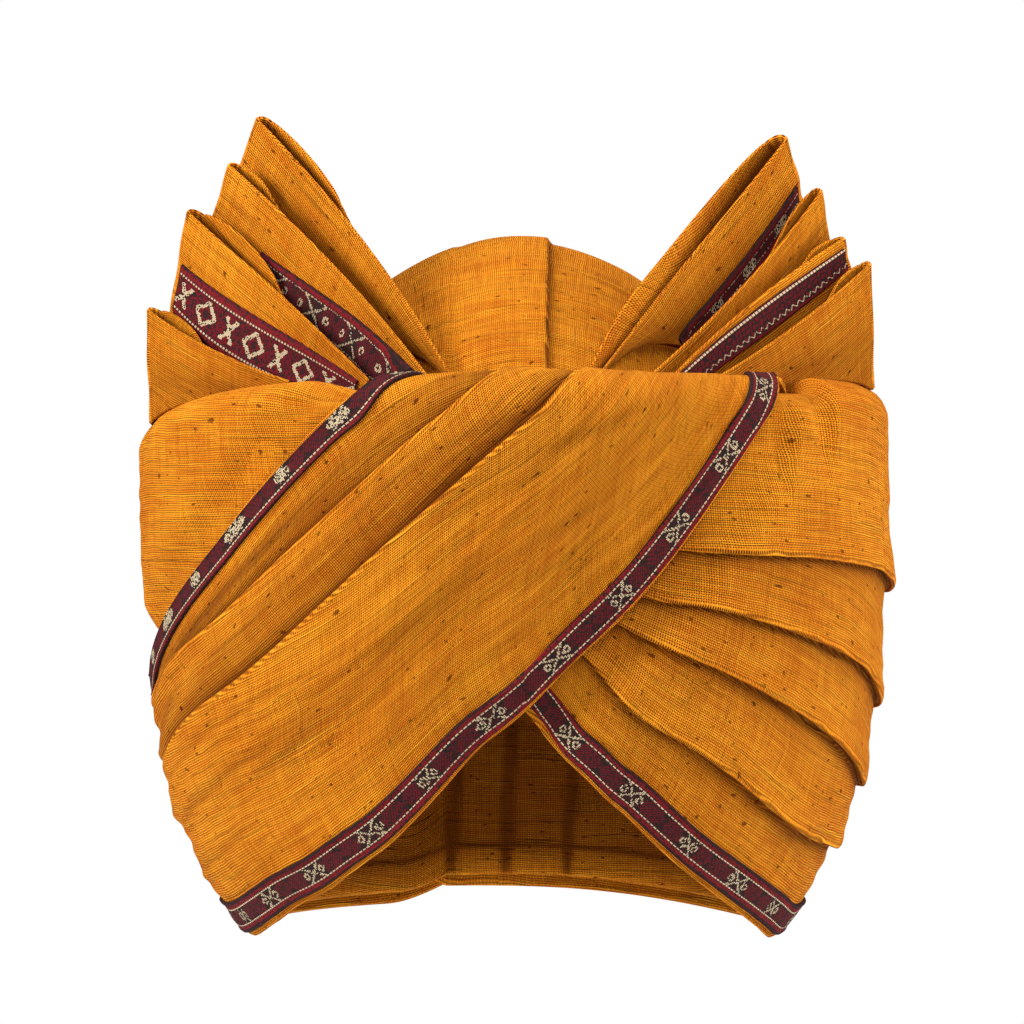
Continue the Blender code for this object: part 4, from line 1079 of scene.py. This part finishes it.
def leaf_point(rows, side, leaf, along, down):
    """A leaf's middle surface at shares along it and down it, with its directions."""
    top, low, value = leaf_edges(rows, side, leaf, along)
    here = top[:, None] + (low - top)[:, None] * down[..., None]
    ahead = unit(np.gradient(here, axis=0))
    below = unit(np.gradient(here, axis=1))
    normal = unit(np.cross(ahead, below))
    normal = np.where(normal[..., 1:2] > 0.0, -normal, normal)
    grow = smoothstep(0.05, 0.5, along)[:, None]
    fan = waves(along[:, None] * 0.05, down * 0.03, 0.20, 0.020, 60 + leaf + 5 * (side > 0))
    ripple = 0.00045 * grow * fan
    return here + normal * ripple[..., None], ahead, below, normal, value


def layer_gap(value, along):
    """The space between a leaf's two layers, wider at its folded outer edge."""
    return FAN_LAYER_GAP + (value["mouth"] - FAN_LAYER_GAP) * smoothstep(0.3, 1.0, along)


def round_fold(part, count):
    """A layer's stations out to the fold, the fold's own stations, and the same way back."""
    return np.concatenate([part, np.repeat(part[-1:], count, axis=0), part[::-1]])


def faced_out(away, points, *layers):
    """The points and what goes with them, with the stations turned round where the faces would point in."""
    normal = np.cross(points[1, 1] - points[0, 1], points[0, 2] - points[0, 1])
    step = -1 if (normal * away).sum() > 0.0 else 1
    return [part[::step] for part in (points,) + layers]


def make_leaf(node, rows, side, leaf):
    """One folded leaf: the back layer, the fold round its outer edge, then the front layer. The layers lie
    half a gap to each side of the leaf's surface, and the fold is a half circle of the mouth's radius."""
    along = np.linspace(0.0, 1.0, LEAF_ALONG + 1)
    down = np.concatenate([[0.0, 0.004, 0.012], np.linspace(0.02, 0.98, LEAF_DOWN), [0.988, 0.996, 1.0]])
    here, ahead, below, normal, value = leaf_point(rows, side, leaf, along, down[None, :])
    half_gap = 0.5 * layer_gap(value, along)[:, None, None]
    open_share = np.clip((along - value["slit"]) / (1.0 - value["slit"]), 0.0, 1.0)
    closed = 1.0 - smoothstep(value["slit"] - 0.12, value["slit"] + 0.05, along)
    rise = value["rise"] * np.sin(math.pi * open_share) ** 0.7 - 0.0030 * closed
    rise = rise[:, None] * (1.0 - down)[None, :]
    back = here - normal * half_gap - below * rise[..., None]
    front = here + normal * half_gap
    turns = math.pi * np.linspace(1.0, 0.0, 13)[1:-1, None, None]
    radius = 0.5 * value["mouth"]
    loop = here[-1:] + radius * (ahead[-1:] * np.sin(turns) + normal[-1:] * np.cos(turns))
    middle = np.concatenate([back, loop, front[::-1]])
    lie = unit(np.cross(np.gradient(middle, axis=1), np.gradient(middle, axis=0)))
    bend = np.cos(turns) * normal[-1:] + np.sin(turns) * ahead[-1:]
    away = np.concatenate([-normal, bend, normal[::-1]])
    lie = lie * np.sign((lie * away).sum(axis=-1, keepdims=True) + 1e-9)
    half = 0.5 * FAN_CLOTH
    edge_rise = round_fold(below, len(turns))
    outer = middle + half * lie
    inner = middle - half * lie
    top_edge = middle[:, :1] - half * edge_rise[:, :1]
    low_edge = middle[:, -1:] + half * edge_rise[:, -1:]
    points = np.concatenate([outer, low_edge, inner[:, ::-1], top_edge], axis=1)
    height = np.linalg.norm(here[:, -1] - here[:, 0], axis=-1)[:, None]
    depth = down[None, :] * height
    # Painted shade: the front faces darken further down and towards the root, where the leaf before them
    # shades them, and the faces inside the fold darken below the other layer's edge.
    face = 0.30 * smoothstep(0.15, 0.7, down)[None, :] + 0.35 * (1.0 - along[:, None]) ** 2
    face = round_fold(face, len(turns))
    deep = np.concatenate([depth - rise, np.repeat(depth[-1:], len(turns), axis=0), depth[::-1]])
    deep = smoothstep(-0.0008, 0.0030, deep)
    shades = np.concatenate([face, face[:, -1:], deep[:, ::-1], 0.0 * face[:, :1]], axis=1)
    over_fold = np.linspace(0.0, 0.02, len(turns))
    lengths = np.concatenate([along - 1.0, over_fold, 1.02 - along[::-1]]) * FAN_REACH
    outer_face = round_fold(depth, len(turns))
    far = outer_face[:, -1:]
    inner_face = 2.0 * (far + half) - outer_face[:, ::-1]
    edges = [far + half, 2.0 * far + 3.0 * half, 2.0 * far + 4.0 * half]
    depths = np.concatenate([outer_face, edges[0], inner_face, edges[1], edges[2]], axis=1)
    uv = np.stack([lengths[:, None] + 0.0 * depths, depths + 0.11 * leaf], axis=-1)
    points, uv, shades = faced_out(lie[0, 1], points, uv, shades)
    piece = grid_object(node + "_cloth", points, uv, loop=True, caps=True, shade=shades)
    return finish_piece(piece, node, cloth_material("fan"))


def make_fan_trim(node, rows, side, leaf, span, upper, lower, pattern):
    """A border laid on the front layer of a leaf, between two edges that are shares of the leaf's height."""
    stations, across = 121, 13
    along = np.linspace(*span, stations)
    down = np.linspace(np.linspace(*upper, stations), np.linspace(*lower, stations), across, axis=1)
    hidden = leaf_edges(rows, side, leaf, along)[2]["hidden"][:, None]
    down = np.minimum(down * hidden, np.linspace(0.90, 0.99, across)[None, :])
    here, _, _, normal, value = leaf_point(rows, side, leaf, along, down)
    bead = np.array([0.5, 0.95, 1.0, 0.9, 0.85, 0.85, 0.85, 0.85, 0.85, 0.9, 1.0, 0.95, 0.5])[None, :]
    face = 0.5 * layer_gap(value, along)[:, None] + 0.5 * FAN_CLOTH
    top = here + normal * (face + TRIM_LIFT + TRIM_THICKNESS * bead)[..., None]
    under = (here + normal * (face + TRIM_UNDERSIDE)[..., None])[:, ::-1][:, ::3]
    points = np.concatenate([top, under], axis=1)
    flat = border_uv(points, across // 2, across - 1)
    widths = np.abs(flat[:, across - 1:across, 1] - flat[:, :1, 1])
    width = float(np.median(widths))
    flat[..., 1] *= width / np.maximum(widths, 0.2 * width)
    uv = np.concatenate([flat, flat[:, :1]], axis=1)
    points, uv = faced_out(normal[0, 1], points, uv)
    piece = grid_object(node + "_band", points, uv, loop=True, caps=True)
    return finish_piece(piece, node, border_material(pattern, width))


def make_fan(word):
    """The four leaves and the borders of one fan."""
    rows, side = (LEFT_LEAVES, -1) if word == "left" else (RIGHT_LEAVES, 1)
    leaves = [make_leaf(f"{word}_fan_pleat_{leaf + 1}", rows, side, leaf) for leaf in range(4)]
    bands = {}
    for node, facts in FAN_TRIMS.items():
        if node.startswith(word):
            bands.setdefault(facts[2], []).append(make_fan_trim(node, *facts))
    return leaves, bands


def length(name, description, default, low, high):
    """A setting that holds a length."""
    return bpy.props.FloatProperty(
        name=name, description=description, default=default, min=low, max=high, precision=5, unit="LENGTH")


def colour(name, description, default):
    """A setting that holds a colour."""
    return bpy.props.FloatVectorProperty(
        name=name, description=description, default=default + (1.0,), min=0.0, max=1.0, size=4,
        subtype="COLOR")


class TurbanSizes(bpy.types.PropertyGroup):
    """Sizes of the cloth that a user would change."""
    thread: length("Thread pitch", "Distance from one thread to the next", 0.00065, 0.0002, 0.002)
    weave_depth: bpy.props.FloatProperty(
        name="Weave depth", description="How much the threads stand out", default=1.0, min=0.0, max=3.0)
    unevenness: length("Unevenness", "Height of the cloth's soft unevenness", 0.0007, 0.0, 0.003)
    lip: length("Fold lip", "Width of the step at a fold", 0.0021, 0.001, 0.006)
    overlap: length("Fold overlap", "How far a fold hangs over the next one", 0.0010, 0.0, 0.003)
    pleat: length("Pleat height", "How far a pleat of the under wrap stands out", 0.0030, 0.0, 0.006)
    selvage: length("Selvage", "Width of the cloth's edge outside the border", 0.0006, 0.0, 0.004)


class TurbanColours(bpy.types.PropertyGroup):
    """Colours of the cloth and of the borders."""
    cloth_light: colour("Cloth, light", "Colour of the cloth's lighter threads", (0.87, 0.330, 0.016))
    cloth_dark: colour("Cloth, dark", "Colour of the cloth's darker threads", (0.54, 0.132, 0.005))
    # The deep colour serves the weave's gaps and the dark nubs, and the painted shade in folds and hollows.
    cloth_nubs_and_shade: colour("Cloth, deep", "Colour deep in the folds and of the nubs", (0.11, 0.024, 0.001))
    maroon: colour("Maroon", "Main colour of the borders", (0.17, 0.008, 0.016))
    red: colour("Red", "Colour of the borders' edge lines", (0.21, 0.010, 0.015))
    black: colour("Black", "Ground colour of the borders", (0.024, 0.014, 0.013))
    cream: colour("Cream", "Colour of the borders' motifs", (0.80, 0.64, 0.40))


class TURBAN_OT_crown(bpy.types.Operator):
    """Make the crown and the inner wall"""
    bl_idname = "turban.crown"
    bl_label = "Crown"

    def execute(self, context):
        crown = make_crown()
        return {"FINISHED"}


class TURBAN_OT_under_wrap(bpy.types.Operator):
    """Make the pleated wrap and its border"""
    bl_idname = "turban.under_wrap"
    bl_label = "Under wrap"

    def execute(self, context):
        sizes = context.scene.turban_sizes
        cloth = make_under_wrap(sizes)

        def lie(angle, path):
            relief, _, _, base = under_lie(angle, path, sizes)
            lower = under_lower(angle)
            return relief * smoothstep(0.0, 0.008, lower - path) + base

        trim = make_wrap_trim(
            "under_wrap_trim", UNDER_TRIM_SPAN, under_lower, WRAP_TRIM_WIDTH, -1.0, lie, sizes)
        return {"FINISHED"}


class TURBAN_OT_over_wrap(bpy.types.Operator):
    """Make the wide wrap and its borders"""
    bl_idname = "turban.over_wrap"
    bl_label = "Over wrap"

    def execute(self, context):
        sizes = context.scene.turban_sizes
        cloth = make_over_wrap(sizes)

        def lie(angle, path):
            return fold_shape(angle, path, sizes)[0] + end_sink(angle)

        lower = make_wrap_trim(
            "over_wrap_lower_trim", LOWER_TRIM_SPAN, over_lower, WRAP_TRIM_WIDTH, -1.0, lie, sizes)
        upper = make_wrap_trim(
            "over_wrap_upper_trim", UPPER_TRIM_SPAN, over_upper, UPPER_TRIM_WIDTH, 1.0, lie, sizes)
        return {"FINISHED"}


class TURBAN_OT_fans(bpy.types.Operator):
    """Make both fans and their borders"""
    bl_idname = "turban.fans"
    bl_label = "Fans"

    def execute(self, context):
        for word, widths in LEAF_SHEETS.items():
            leaves, bands = make_fan(word)
        return {"FINISHED"}


class TURBAN_OT_stage(bpy.types.Operator):
    """Make the floor, the lights and the camera"""
    bl_idname = "turban.stage"
    bl_label = "Stage"

    def execute(self, context):
        scene = context.scene
        turns = np.linspace(0.0, 2.0 * math.pi, 97)[:-1]
        ring = np.stack([np.cos(turns), np.sin(turns), 0.0 * turns], axis=-1) * FLOOR_RADIUS
        ring[:, 2] = FLOOR_Z
        mesh = bpy.data.meshes.new("floor")
        mesh.from_pydata([tuple(point) for point in ring], [], [tuple(range(len(ring)))])
        floor = bpy.data.objects.new("floor", mesh)
        scene.collection.objects.link(floor)
        pale = bpy.data.materials.new("pale_floor")
        pale.use_nodes = True
        surface = pale.node_tree.nodes["Principled BSDF"]
        surface.inputs["Base Color"].default_value = (FLOOR_GREY, FLOOR_GREY, FLOOR_GREY, 1.0)
        surface.inputs["Roughness"].default_value = 0.9
        mesh.materials.append(pale)
        for name, (place, size, power) in LIGHTS.items():
            data = bpy.data.lights.new(name, "AREA")
            data.size = size
            data.energy = power
            light = bpy.data.objects.new(name, data)
            light.location = place
            aim = np.array(LIGHT_AIM) - np.array(place)
            tilt = math.acos(aim[2] / np.linalg.norm(aim)) - math.pi
            light.rotation_euler = (tilt, 0.0, math.atan2(aim[1], aim[0]) + 0.5 * math.pi)
            scene.collection.objects.link(light)
        world = bpy.data.worlds.new("studio")
        world.use_nodes = True
        nodes, links = world.node_tree.nodes, world.node_tree.links
        nodes.clear()
        out = nodes.new("ShaderNodeOutputWorld")
        mix = nodes.new("ShaderNodeMixShader")
        seen = nodes.new("ShaderNodeBackground")
        seen.inputs["Color"].default_value = (1.0, 1.0, 1.0, 1.0)
        lit = nodes.new("ShaderNodeBackground")
        lit.inputs["Strength"].default_value = WORLD_STRENGTH
        rays = nodes.new("ShaderNodeLightPath")
        links.new(rays.outputs["Is Camera Ray"], mix.inputs[0])
        links.new(lit.outputs[0], mix.inputs[1])
        links.new(seen.outputs[0], mix.inputs[2])
        links.new(mix.outputs[0], out.inputs[0])
        scene.world = world
        camera_data = bpy.data.cameras.new("camera")
        camera_data.sensor_width = CAMERA_SENSOR
        camera_data.lens = CAMERA_SENSOR * -CAMERA_PLACE[1] / CAMERA_VIEW_WIDTH
        camera = bpy.data.objects.new("camera", camera_data)
        camera.location = CAMERA_PLACE
        camera.rotation_euler = (0.5 * math.pi, 0.0, 0.0)
        scene.collection.objects.link(camera)
        scene.camera = camera
        scene.view_settings.view_transform = "Standard"
        return {"FINISHED"}


class TURBAN_PT_panel(bpy.types.Panel):
    """Lists the turban's pieces, sizes and colours"""
    bl_idname = "TURBAN_PT_panel"
    bl_label = "Turban"
    bl_space_type = "VIEW_3D"
    bl_region_type = "UI"
    bl_category = "Turban"

    def draw(self, context):
        for group in (context.scene.turban_sizes, context.scene.turban_colours):
            for name in group.__annotations__:
                self.layout.prop(group, name)
        for operator in PIECES:
            self.layout.operator(operator.bl_idname)


PIECES = (TURBAN_OT_crown, TURBAN_OT_under_wrap, TURBAN_OT_over_wrap, TURBAN_OT_fans, TURBAN_OT_stage)
CLASSES = (TurbanSizes, TurbanColours) + PIECES + (TURBAN_PT_panel,)


def register():
    """Add the classes and the scene's settings."""
    for made in CLASSES:
        bpy.utils.register_class(made)
    bpy.types.Scene.turban_sizes = bpy.props.PointerProperty(type=TurbanSizes)
    bpy.types.Scene.turban_colours = bpy.props.PointerProperty(type=TurbanColours)


def unregister():
    """Take them away again."""
    del bpy.types.Scene.turban_colours
    del bpy.types.Scene.turban_sizes
    for made in reversed(CLASSES):
        bpy.utils.unregister_class(made)


def main():
    """Make every piece."""
    register()
    bpy.ops.turban.crown()
    bpy.ops.turban.under_wrap()
    bpy.ops.turban.over_wrap()
    bpy.ops.turban.fans()
    bpy.ops.turban.stage()


if __name__ == "__main__":
    main()
